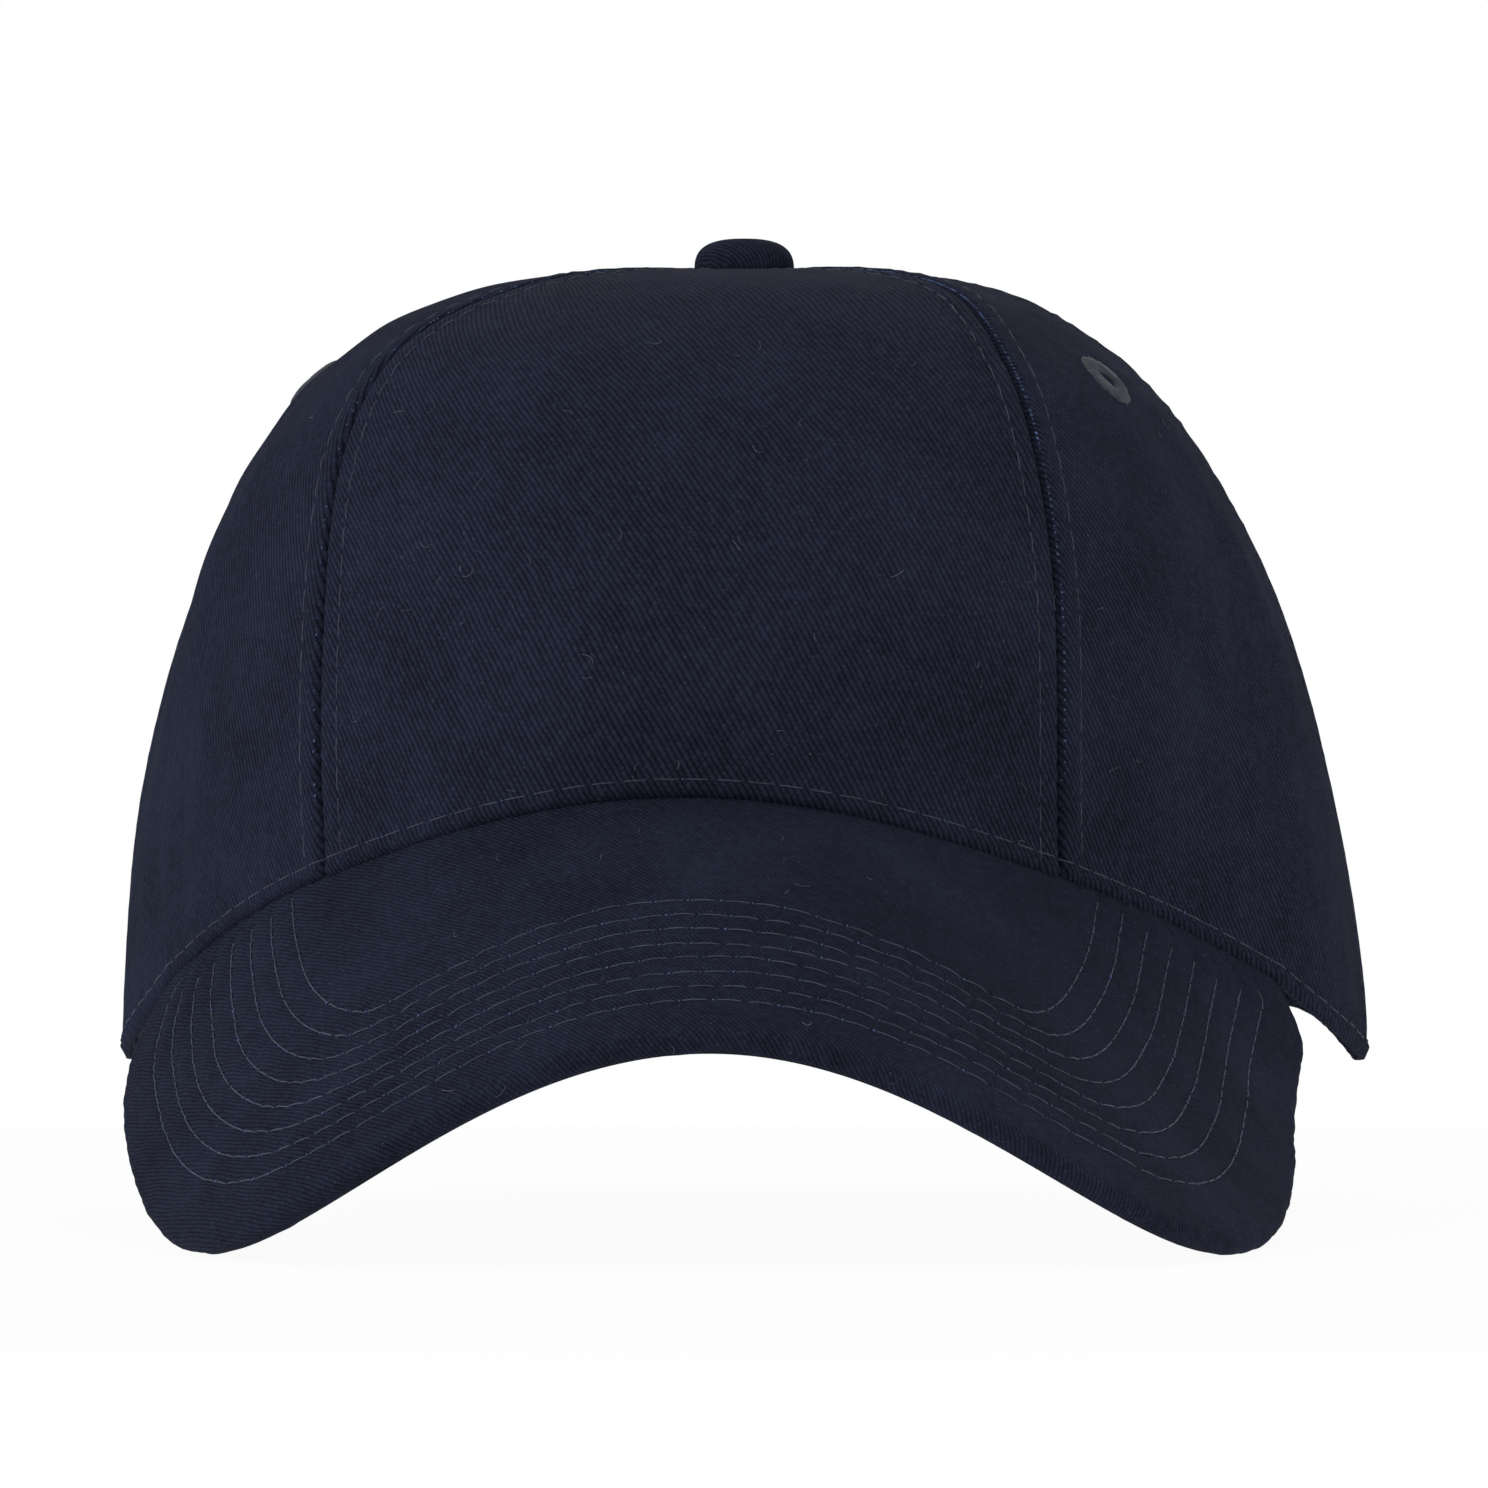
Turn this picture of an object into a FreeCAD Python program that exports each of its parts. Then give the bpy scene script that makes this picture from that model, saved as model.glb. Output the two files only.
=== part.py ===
"""Five-panel baseball cap with a covered button, a curved visor and a strap closure with a clasp.

Frame: +Z up, the front of the cap faces -Y, +X is the wearer's left. The origin is the centre of the head
opening, in the plane of the crown's lowest edge. Lengths are in millimetres and angles in degrees.
"""
import FreeCAD, Part
import math
import os

import Sketcher

Vector = FreeCAD.Vector
Rotation = FreeCAD.Rotation
Placement = FreeCAD.Placement

DIMENSIONS = [
    # crown
    ("crown_half_width", 88.0),
    ("crown_front_length", 99.4),
    ("crown_rear_length", 100.0),
    ("crown_height", 111.8),
    ("side_roundness", 3.57),
    ("front_roundness", 2.62),
    ("side_rise", 1.74),
    ("front_rise", 3.87),
    ("corner_pinch", 0.115),
    ("seam_azimuth_low", 34.5),
    ("seam_azimuth_high", 46.1),
    ("side_seam_azimuth", 90.0),
    ("crown_top_hole_radius", 3.0),
    # cloth layers, counted inwards from the outer face of the crown
    ("panel_thickness", 0.9),
    ("piece_gap", 0.15),
    ("buckram_depth", 1.05),
    ("buckram_thickness", 0.6),
    ("buckram_margin", 4.0),
    ("buckram_top_radius", 14.0),
    ("tape_depth", 1.85),
    ("tape_thickness", 0.45),
    ("tape_half_width", 5.5),
    ("tape_top_radius", 16.0),
    ("tape_end_margin", 2.5),
    ("sweatband_depth_front", 3.1),
    ("sweatband_depth_rear", 5.6),
    ("sweatband_thickness", 1.0),
    ("sweatband_height", 32.0),
    ("sweatband_edge_rise", 0.8),
    ("sweatband_side_rise", 7.0),
    ("sweatband_rise_start", 48.0),
    ("sweatband_rise_end", 74.0),
    ("sweatband_shift_start", 85.0),
    ("sweatband_shift_end", 115.0),
    ("sweatband_end_azimuth", 153.0),
    ("label_half_azimuth", 11.0),
    ("label_height", 18.0),
    ("label_thickness", 0.4),
    ("label_drop", 6.0),
    # rear opening
    ("arch_half_width", 40.0),
    ("arch_height", 51.0),
    ("arch_straight_height", 18.0),
    ("binding_width", 9.0),
    ("binding_foot", 0.3),
    ("binding_depth", 1.05),
    ("binding_thickness", 0.4),
    # visor
    ("visor_slope", 24.35),
    ("visor_seam_height", 37.65),
    ("visor_seam_length", 98.8),
    ("visor_curve", 0.0093),
    ("visor_half_width", 82.0),
    ("visor_centre_length", -51.0),
    ("visor_half_length", 214.2),
    ("visor_squareness", 3.93),
    ("visor_end_azimuth", 66.0),
    ("visor_corner_length", 9.0),
    ("visor_tuck", 2.4),
    ("visor_cover_thickness", 0.6),
    ("visor_board_thickness", 2.0),
    ("visor_layer_gap", 0.1),
    ("visor_seat_gap", 0.3),
    ("visor_rim_width", 1.0),
    ("visor_inset_turn", 0.8),
    ("edge_low_azimuth", 96.0),
    ("rear_edge_rise", 7.0),
    ("rear_edge_start_azimuth", 93.0),
    ("rear_edge_end_azimuth", 120.0),
    # button
    ("button_radius", 7.0),
    ("button_dome_height", 4.2),
    ("button_cover_thickness", 0.5),
    ("button_hem_thickness", 0.45),
    ("button_hem_radius", 4.6),
    ("button_fit", 0.05),
    ("button_shell_thickness", 0.4),
    ("button_back_radius", 5.7),
    ("button_back_thickness", 0.4),
    ("button_stem_radius", 1.4),
    ("button_flare_radius", 2.3),
    ("button_flare_thickness", 0.4),
    ("washer_radius", 6.0),
    ("washer_thickness", 0.6),
    # eyelets
    ("eyelet_height", 95.8),
    ("left_eyelet_azimuth", 63.0),
    ("right_eyelet_azimuth", 78.0),
    ("eyelet_rear_azimuth", 142.5),
    ("eyelet_radius", 4.6),
    ("eyelet_neck_radius", 2.4),
    ("eyelet_hole_radius", 1.5),
    ("eyelet_flange_thickness", 0.35),
    ("eyelet_flange_gap", 0.45),
    # strap and clasp
    ("strap_axis_length", 17.0),
    ("strap_low_radius", 78.4),
    ("strap_high_radius", 75.5),
    ("strap_thickness", 1.2),
    ("strap_low", 14.0),
    ("strap_width", 20.0),
    ("strap_sewn_azimuth", 43.0),
    ("strap_tail_azimuth", 44.0),
    ("clasp_azimuth", 17.0),
    ("clasp_half_height", 12.6),
    ("clasp_ear_thickness", 1.4),
    ("clasp_half_length", 9.5),
    ("clasp_plate_thickness", 0.8),
    ("clasp_plate_depth", 2.6),
    ("clasp_ear_rise", 4.2),
    ("clasp_plate_start", 2.0),
    ("clasp_bar_radius", 0.8),
    ("clasp_bar_offset", 8.2),
    ("clasp_bar_rise", 2.3),
    ("pin_radius", 0.9),
    ("pin_offset", 4.0),
    ("pin_rise", 2.7),
    ("pin_seat_radius", 0.92),
    ("pin_hole_radius", 0.95),
    ("pin_half_length", 12.9),
    ("lever_half_height", 10.8),
    ("lever_knuckle_radius", 1.75),
    ("lever_plate_length", 9.0),
    ("lever_plate_thickness", 0.9),
    ("lever_tooth_half_width", 0.6),
    ("loop_length", 15.5),
    ("loop_half_height", 9.0),
    ("loop_wall", 0.6),
    ("loop_bar_clearance", 0.15),
    ("loop_taper_length", 6.0),
    ("loop_end_half_thickness", 0.35),
    ("loop_tilt", 17.4),
]

doc = FreeCAD.newDocument("baseball_cap")
sheet = doc.addObject("Spreadsheet::Sheet", "dims")
for row, (alias, number) in enumerate(DIMENSIONS, start=1):
    sheet.set(f"A{row}", alias)
    sheet.set(f"B{row}", str(number))
    sheet.setAlias(f"B{row}", alias)
doc.recompute()


def size(alias):
    """A driving dimension, read from the sheet."""
    return float(getattr(sheet, alias))


pieces = []

# lengths that only have to reach past the cap, and the heights that an edge search spans
PAST_CAP = 230.0
HIGHEST_EDGE = 70.0
CLIMB_POWER = 4
SEAM_LEAN_POWER = 4


def keep(piece, label):
    """Registers a finished sub-part under its node name."""
    piece.Label = label
    pieces.append(piece)
    return piece


# ---------------------------------------------------------------- crown surface


def crown_radius(azimuth, height_share):
    """Plan radius of the crown's outer face at an azimuth (0 is the front) and a share of its height."""
    side = math.sin(math.radians(azimuth))
    ahead = math.cos(math.radians(azimuth))
    length = size("crown_front_length") if ahead > 0 else size("crown_rear_length")
    base = 1.0 / math.hypot(side / size("crown_half_width"), ahead / length)
    front = max(0.0, ahead) ** 2
    roundness = size("side_roundness") + (size("front_roundness") - size("side_roundness")) * front
    rise = size("side_rise") + (size("front_rise") - size("side_rise")) * front
    share = (1.0 - height_share**rise) ** (1.0 / roundness)
    pinch = 0.0
    if ahead > 0:
        pinch = size("corner_pinch") * math.sin(2 * math.radians(azimuth)) ** 2 * (1.0 - height_share)
    return base * share * (1.0 - pinch)


def outer_point(azimuth, height):
    """A point of the crown's outer face."""
    height_share = min(max(height / size("crown_height"), 0.0), 1.0)
    radius = crown_radius(azimuth, height_share)
    angle = math.radians(azimuth)
    return Vector(radius * math.sin(angle), -radius * math.cos(angle), height)


def height_of(climb):
    """Height for a climb from 0 to 1; equal steps of climb crowd together near the flat top."""
    return size("crown_height") * (1.0 - (1.0 - climb) ** CLIMB_POWER)


def climb_of(height):
    """The climb that reaches a height."""
    return 1.0 - (1.0 - height / size("crown_height")) ** (1.0 / CLIMB_POWER)


def outward(azimuth, height):
    """Outward unit normal of the crown's outer face."""
    step = 0.05
    low = max(height - step, 0.0)
    high = min(height + step, size("crown_height") - 1e-6)
    across = outer_point(azimuth + step, height) - outer_point(azimuth - step, height)
    along = outer_point(azimuth, high) - outer_point(azimuth, low)
    normal = across.cross(along)
    normal.normalize()
    return normal


def wall_point(azimuth, height, depth):
    """A point at a depth inside the crown's outer face."""
    return outer_point(azimuth, height) - outward(azimuth, height) * depth


def seam_azimuth(height):
    """Azimuth of the seam between the front panel and a side panel, which leans back as it climbs."""
    share = (height / size("crown_height")) ** SEAM_LEAN_POWER
    return size("seam_azimuth_low") + (size("seam_azimuth_high") - size("seam_azimuth_low")) * share


def visor_top(side, ahead):
    """Height of the visor's top face, above a place in plan."""
    drop = (ahead - size("visor_seam_length")) * math.tan(math.radians(size("visor_slope")))
    return size("visor_seam_height") - drop - size("visor_curve") * side**2


def solve(function, low, high):
    """The argument where a rising function crosses zero, by halving."""
    for _ in range(45):
        middle = (low + high) / 2
        if function(middle) < 0:
            low = middle
        else:
            high = middle
    return (low + high) / 2


def smooth_share(value, low, high):
    """0 below low, 1 above high, and a smooth rise between."""
    share = min(max((value - low) / (high - low), 0.0), 1.0)
    return share * share * (3.0 - 2.0 * share)


def edge_height(azimuth, depth=0.0):
    """Height of the crown's lower edge: on the visor in front, lowest beside it, a little higher behind."""
    bearing = abs((azimuth + 180.0) % 360.0 - 180.0)
    turn = min(bearing, size("visor_end_azimuth"))

    def over_visor(height):
        point = wall_point(turn, height, depth)
        return height - visor_top(point.x, -point.y) - size("visor_seat_gap")

    seat = solve(over_visor, 0.0, HIGHEST_EDGE)
    span = size("edge_low_azimuth") - size("visor_end_azimuth")
    share = min((bearing - turn) / span, 1.0)
    rear = smooth_share(bearing, size("rear_edge_start_azimuth"), size("rear_edge_end_azimuth"))
    return seat * (1.0 - share) ** 2 + size("rear_edge_rise") * rear


# ---------------------------------------------------------------- curved cloth pieces


def even_column(start_height, top_radius, top_height, azimuth_at, depth, rows):
    """Evenly spaced points up one column of a cloth piece, to a plan radius or to a height."""
    if top_radius is None:
        high = top_height
    else:
        high = solve(
            lambda height: top_radius - math.hypot(*outer_point(azimuth_at(height), height)[:2]),
            start_height,
            size("crown_height") - 1e-7,
        )
    samples = 160
    climb_low = climb_of(start_height)
    climb_high = climb_of(high)
    heights = [
        height_of(climb_low + (climb_high - climb_low) * i / samples) for i in range(samples + 1)
    ]
    points = [wall_point(azimuth_at(height), height, depth) for height in heights]
    lengths = [0.0]
    for before, after in zip(points, points[1:]):
        lengths.append(lengths[-1] + before.distanceToPoint(after))
    column = []
    place = 0
    for row in range(rows):
        target = lengths[-1] * row / (rows - 1)
        while place < samples - 1 and lengths[place + 1] < target:
            place += 1
        share = (target - lengths[place]) / (lengths[place + 1] - lengths[place])
        column.append(points[place] + (points[place + 1] - points[place]) * min(share, 1.0))
    return column


def cloth_solid(low_side, high_side, bottom, outer_depth, thickness, columns, rows,
                top_radius=None, top=None):
    """A closed cloth piece between two azimuth lines, its lower edge and a top radius or height."""
    first_height = 20.0
    settling_rounds = 4
    faces = []
    for extra in (0.0, thickness):
        grid = []
        for column in range(columns):
            share = column / (columns - 1)

            def azimuth_at(height, share=share):
                return low_side(height) + (high_side(height) - low_side(height)) * share

            middle = azimuth_at(first_height)
            depth = (outer_depth(middle) if callable(outer_depth) else outer_depth) + extra
            start = bottom(middle, depth)
            for _ in range(settling_rounds):
                start = bottom(azimuth_at(start), depth)
            high = None if top is None else top(azimuth_at(start), depth)
            grid.append(even_column(start, top_radius, high, azimuth_at, depth, rows))
        surface = Part.BSplineSurface()
        surface.interpolate(grid)
        faces.append(surface)
    outer, inner = faces
    sides = []
    for index, border in enumerate(("uIso", "uIso", "vIso", "vIso")):
        high_edge, low_edge = [getattr(face, border)(face.bounds()[index]).toShape() for face in faces]
        sides.append(Part.makeRuledSurface(high_edge, low_edge))
    shell = Part.makeCompound([outer.toShape(), inner.toShape()] + sides)
    shell.sewShape()
    solid = Part.makeSolid(shell.Shells[0])
    if solid.Volume < 0:
        solid.reverse()
    return solid


def free_form(label, shape):
    """A cloth piece whose double curvature no sketch feature gives."""
    feature = doc.addObject("Part::Feature", label)
    feature.Shape = shape
    feature.Placement = Placement(Vector(0, 0, 0), Rotation())
    return keep(feature, label)


def gap_angle(height):
    """Half a seam gap, as an angle at the crown's wall."""
    radius = crown_radius(90.0, min(height / size("crown_height"), 0.9999))
    return math.degrees(size("piece_gap") / 2 / max(radius, 2.0))


def panel(low_side, high_side, columns):
    """One crown panel, from the lower edge to the hole under the button."""
    return cloth_solid(
        lambda height: low_side(height) + gap_angle(height),
        lambda height: high_side(height) - gap_angle(height),
        edge_height,
        0.0,
        size("panel_thickness"),
        columns,
        19,
        top_radius=size("crown_top_hole_radius"),
    )


def arch_prism(grow):
    """The rear opening's outline, grown outwards and run through the back of the crown."""
    half = size("arch_half_width") + grow
    straight = size("arch_straight_height")
    high = size("arch_height") + grow
    floor = -half
    start = size("crown_rear_length") / 2
    right = Vector(half, start, straight)
    left = Vector(-half, start, straight)
    crest = Part.Ellipse(right, Vector(0, start, high), Vector(0, start, straight))
    edges = [
        Part.makeLine(left, Vector(-half, start, floor)),
        Part.makeLine(Vector(-half, start, floor), Vector(half, start, floor)),
        Part.makeLine(Vector(half, start, floor), right),
        Part.ArcOfEllipse(crest, 0, math.pi).toShape(),
    ]
    return Part.Face(Part.Wire(edges)).extrude(Vector(0, size("crown_rear_length"), 0))


def eyelet_places():
    """Azimuth of each of the four ventilation eyelets, by node name."""
    return {
        "left_side_eyelet": size("left_eyelet_azimuth"),
        "right_side_eyelet": -size("right_eyelet_azimuth"),
        "left_rear_eyelet": size("eyelet_rear_azimuth"),
        "right_rear_eyelet": -size("eyelet_rear_azimuth"),
    }


def eyelet_bore(node):
    """The hole that an eyelet's neck passes through."""
    azimuth = eyelet_places()[node]
    height = size("eyelet_height")
    normal = outward(azimuth, height)
    reach = size("eyelet_radius")
    start = outer_point(azimuth, height) - normal * reach
    radius = size("eyelet_neck_radius") + size("piece_gap")
    return Part.makeCylinder(radius, 2 * reach, start, normal)


def crown_panels():
    """The front, side and rear panels of the crown."""
    side_seam = size("side_seam_azimuth")
    arch = arch_prism(0.0)
    free_form("front_panel", panel(lambda h: -seam_azimuth(h), seam_azimuth, 15))
    for word, sign in (("left", 1), ("right", -1)):
        side_lines = sorted((lambda h: sign * seam_azimuth(h), lambda h: sign * side_seam),
                            key=lambda line: line(0.0))
        side = panel(side_lines[0], side_lines[1], 15)
        free_form(f"{word}_side_panel", side.cut(eyelet_bore(f"{word}_side_eyelet")))
        rear_lines = sorted((lambda h: sign * side_seam, lambda h: sign * 180.0),
                            key=lambda line: line(0.0))
        rear = panel(rear_lines[0], rear_lines[1], 15)
        rear = rear.cut(eyelet_bore(f"{word}_rear_eyelet")).cut(arch)
        free_form(f"{word}_rear_panel", rear)


def front_buckram():
    """The stiffening cloth behind the front panel."""
    margin = math.degrees(size("buckram_margin") / size("crown_half_width"))
    shape = cloth_solid(
        lambda h: -seam_azimuth(h) + margin,
        lambda h: seam_azimuth(h) - margin,
        lambda azimuth, depth: edge_height(azimuth) + size("buckram_margin"),
        size("buckram_depth"),
        size("buckram_thickness"),
        13,
        15,
        top_radius=size("buckram_top_radius"),
    )
    free_form("front_buckram", shape)


def seam_tape(label, azimuth_line, bottom):
    """The tape that covers a seam on the inside, from near the button to near the lower edge."""
    narrowest = 1.6 * size("tape_half_width")

    def half_angle(height):
        radius = crown_radius(azimuth_line(height), min(height / size("crown_height"), 0.9999))
        return math.degrees(math.asin(size("tape_half_width") / max(radius, narrowest)))

    shape = cloth_solid(
        lambda h: azimuth_line(h) - half_angle(h),
        lambda h: azimuth_line(h) + half_angle(h),
        bottom,
        size("tape_depth"),
        size("tape_thickness"),
        5,
        17,
        top_radius=size("tape_top_radius"),
    )
    free_form(label, shape)


def seam_tapes():
    """Tapes over the five seams."""
    side_seam = size("side_seam_azimuth")

    def above_edge(azimuth, depth):
        return edge_height(azimuth) + size("tape_end_margin")

    seam_tape("left_front_seam_tape", seam_azimuth, above_edge)
    seam_tape("right_front_seam_tape", lambda h: -seam_azimuth(h), above_edge)
    seam_tape("left_side_seam_tape", lambda h: side_seam, above_edge)
    seam_tape("right_side_seam_tape", lambda h: -side_seam, above_edge)
    seam_tape("rear_seam_tape", lambda h: 180.0,
              lambda azimuth, depth: size("arch_height") + size("tape_end_margin"))


def sweatband_depth(azimuth):
    """Depth of the sweatband, which makes room for the strap behind."""
    blend = smooth_share(abs(azimuth), size("sweatband_shift_start"), size("sweatband_shift_end"))
    front = size("sweatband_depth_front")
    return front + (size("sweatband_depth_rear") - front) * blend


def sweatband():
    """The band that sits on the forehead, ending at each side of the rear opening."""
    end = size("sweatband_end_azimuth")

    def foot(azimuth, depth):
        beside = smooth_share(abs(azimuth), size("sweatband_rise_start"), size("sweatband_rise_end"))
        return edge_height(azimuth) + size("sweatband_edge_rise") + size("sweatband_side_rise") * beside

    shape = cloth_solid(
        lambda h: -end,
        lambda h: end,
        foot,
        sweatband_depth,
        size("sweatband_thickness"),
        45,
        7,
        top=lambda azimuth, depth: foot(azimuth, depth) + size("sweatband_height"),
    )
    free_form("sweatband", shape)


def size_label():
    """A blank woven label on the sweatband, at the forehead."""
    half_angle = size("label_half_azimuth")
    shape = cloth_solid(
        lambda h: -half_angle,
        lambda h: half_angle,
        lambda azimuth, depth: size("visor_seam_height") + size("label_drop"),
        size("sweatband_depth_front") + size("sweatband_thickness") + size("piece_gap"),
        size("label_thickness"),
        5,
        4,
        top=lambda azimuth, depth: size("visor_seam_height") + size("label_drop") + size("label_height"),
    )
    free_form("size_label", shape)


def rear_arch_binding():
    """The tape that finishes the edge of the rear opening, on the inside."""
    half_width = size("arch_half_width") + size("binding_width")
    half_angle = math.degrees(math.asin(half_width / size("crown_half_width"))) + size("binding_width")
    sheet_shape = cloth_solid(
        lambda h: 180.0 - half_angle,
        lambda h: 180.0 + half_angle,
        lambda azimuth, depth: edge_height(azimuth) + size("binding_foot"),
        size("binding_depth"),
        size("binding_thickness"),
        21,
        9,
        top=lambda azimuth, depth: size("arch_height") + 2 * size("binding_width"),
    )
    band = arch_prism(size("binding_width")).cut(arch_prism(0.0))
    free_form("rear_arch_binding", sheet_shape.common(band))


# ---------------------------------------------------------------- visor


def arched_band(upper, lower):
    """The layer between two depths under the visor's arched top face, run along its slope."""
    slope = math.radians(size("visor_slope"))
    curve = size("visor_curve") * math.cos(slope)
    forward = Vector(0, -math.cos(slope), -math.sin(slope))
    upright = Vector(0, -math.sin(slope), math.cos(slope))
    origin = Vector(0, -size("visor_seam_length"), size("visor_seam_height"))
    reach = size("visor_half_width") + size("visor_corner_length")
    half_count = 12

    def section(depth):
        points = []
        for i in range(-half_count, half_count + 1):
            side = reach * i / half_count
            lean = math.hypot(1.0, 2.0 * curve * side)
            across = side - depth * 2.0 * curve * side / lean
            up = -curve * side**2 - depth / lean
            points.append(origin + Vector(across, 0, 0) + upright * up)
        spline = Part.BSplineCurve()
        spline.interpolate(points)
        return spline.toShape()

    high = section(upper)
    low = section(lower)
    face = Part.makeRuledSurface(high, low)
    face.translate(forward * (-PAST_CAP / 2))
    return face.extrude(forward * PAST_CAP)


def visor_outline(inset, tuck):
    """Plan outline of the visor: a broad curve in front and the crown's own curve behind."""
    half_width = size("visor_half_width") - inset
    half_length = size("visor_half_length") - inset
    centre = size("visor_centre_length")
    power = size("visor_squareness")
    end = size("visor_end_azimuth") - inset * size("visor_inset_turn")

    def seam_place(azimuth):
        point = wall_point(azimuth, edge_height(azimuth), tuck)
        return Vector(point.x, point.y, 0)

    def outer_place(angle):
        side = math.sin(angle)
        ahead = centre + half_length * (1.0 - abs(side) ** power) ** (1.0 / power)
        return Vector(half_width * side, -ahead, 0)

    inner_points = [seam_place(end * i / 10.0) for i in range(-10, 11)]
    share = (size("visor_corner_length") - inner_points[0].y - centre) / half_length
    sweep = math.asin((1.0 - share**power) ** (1.0 / power))
    outer_points = [outer_place(sweep * i / 16.0) for i in range(16, -17, -1)]
    inner = Part.BSplineCurve()
    inner.interpolate(inner_points)
    outer = Part.BSplineCurve()
    outer.interpolate(outer_points)

    def corner(crown_end, side_end):
        bulge = Vector(crown_end.x + (side_end.x - crown_end.x) * math.sqrt(0.5),
                       side_end.y + (crown_end.y - side_end.y) * math.sqrt(0.5), 0)
        return Part.Arc(crown_end, bulge, side_end).toShape()

    wire = Part.Wire([
        inner.toShape(),
        corner(inner_points[-1], outer_points[0]),
        outer.toShape(),
        corner(inner_points[0], outer_points[-1]),
    ])
    face = Part.Face(wire)
    face.translate(Vector(0, 0, -PAST_CAP / 2))
    return face.extrude(Vector(0, 0, PAST_CAP))


def visor():
    """The visor's board, its top cover that wraps the rim, and its under cover."""
    cloth = size("visor_cover_thickness")
    gap = size("visor_layer_gap")
    board = size("visor_board_thickness")
    rim = size("visor_rim_width")
    tuck = size("visor_tuck")
    under_start = cloth + gap + board + gap
    whole = visor_outline(0.0, tuck)
    pocket = visor_outline(rim, tuck + rim)
    top = whole.common(arched_band(0.0, under_start))
    top = top.cut(pocket.common(arched_band(cloth, under_start + rim)))
    free_form("visor_top_cover", top)
    core = visor_outline(rim + gap, tuck).common(arched_band(cloth + gap, cloth + gap + board))
    free_form("visor_board", core)
    under = whole.common(arched_band(under_start + gap, under_start + gap + cloth))
    free_form("visor_under_cover", under)


# ---------------------------------------------------------------- sketch helpers


def origin_plane(body, role):
    """One of a body's own origin planes."""
    return next(item for item in body.Origin.OriginFeatures if item.Role == role)


def new_body(label):
    """A body registered as a sub-part."""
    return keep(doc.addObject("PartDesign::Body", label), label)


def bound_sketch(body, name, role, corners):
    """A closed outline of straight edges whose corner places are expressions of the sheet."""
    sketch = body.newObject("Sketcher::SketchObject", name)
    sketch.AttachmentSupport = [(origin_plane(body, role), "")]
    sketch.MapMode = "FlatFace"
    count = len(corners)
    starts = [Vector(*[evaluate(term) for term in corner], 0) for corner in corners]
    for i in range(count):
        sketch.addGeometry(Part.LineSegment(starts[i], starts[(i + 1) % count]), False)
    for i in range(count):
        sketch.addConstraint(Sketcher.Constraint("Coincident", i, 2, (i + 1) % count, 1))
    for i, (across, up) in enumerate(corners):
        for kind, term, value in (("DistanceX", across, starts[i].x), ("DistanceY", up, starts[i].y)):
            index = sketch.addConstraint(Sketcher.Constraint(kind, -1, 1, i, 1, value))
            sketch.setExpression(f"Constraints[{index}]", spelled(term))
    return sketch


def round_sketch(body, name, role, centre, radius):
    """A circle whose centre and radius are expressions of the sheet."""
    sketch = body.newObject("Sketcher::SketchObject", name)
    sketch.AttachmentSupport = [(origin_plane(body, role), "")]
    sketch.MapMode = "FlatFace"
    place = Vector(evaluate(centre[0]), evaluate(centre[1]), 0)
    sketch.addGeometry(Part.Circle(place, Vector(0, 0, 1), evaluate(radius)), False)
    terms = [("DistanceX", centre[0], place.x), ("DistanceY", centre[1], place.y)]
    for kind, term, value in terms:
        index = sketch.addConstraint(Sketcher.Constraint(kind, -1, 1, 0, 3, value))
        sketch.setExpression(f"Constraints[{index}]", spelled(term))
    index = sketch.addConstraint(Sketcher.Constraint("Radius", 0, evaluate(radius)))
    sketch.setExpression(f"Constraints[{index}]", spelled(radius))
    return sketch


def spelled(term):
    """A term as sheet text: a list of (factor, alias) pairs and plain numbers, added up."""
    words = []
    for item in term:
        if isinstance(item, tuple):
            words.append(f"({item[0]}) * dims.{item[1]}")
        else:
            words.append(f"({item})")
    return " + ".join(words) if words else "0"


def evaluate(term):
    """The number that a term has now."""
    return sum(item[0] * size(item[1]) if isinstance(item, tuple) else item for item in term)


def plus(*aliases):
    """A term that adds aliases; a leading minus subtracts one."""
    return [(-1, word[1:]) if word.startswith("-") else (1, word) for word in aliases]


def pad(body, sketch, length, midplane=True):
    """A pad whose length is a term of the sheet."""
    feature = body.newObject("PartDesign::Pad", sketch.Name + "_pad")
    feature.Profile = sketch
    feature.Midplane = midplane
    feature.setExpression("Length", spelled(length))
    doc.recompute()
    return feature


def bore(body, sketch, length):
    """A pocket to both sides of its sketch, checked to have cut."""
    before = body.Tip.Shape.Volume
    feature = body.newObject("PartDesign::Pocket", sketch.Name + "_pocket")
    feature.Profile = sketch
    feature.Midplane = True
    feature.setExpression("Length", spelled(length))
    doc.recompute()
    if feature.Shape.Volume >= before:
        raise RuntimeError(f"{sketch.Name} cut nothing")
    return feature


def turn(body, sketch, angle=360.0):
    """A revolution of a sketch about the body's own Z axis."""
    feature = body.newObject("PartDesign::Revolution", sketch.Name + "_turn")
    feature.Profile = sketch
    feature.ReferenceAxis = (sketch, ["V_Axis"])
    feature.Angle = angle
    doc.recompute()
    return feature


# ---------------------------------------------------------------- button


def dome(body, kind, name, radius, height):
    """A half ellipsoid over the body's XY plane, added or taken away."""
    feature = body.newObject(f"PartDesign::{kind}Ellipsoid", name)
    feature.setExpression("Radius1", spelled(height))
    feature.setExpression("Radius2", spelled(radius))
    feature.setExpression("Radius3", spelled(radius))
    feature.Angle1 = 0.0
    feature.Angle2 = 90.0
    feature.Angle3 = 360.0
    doc.recompute()
    return feature


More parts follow.
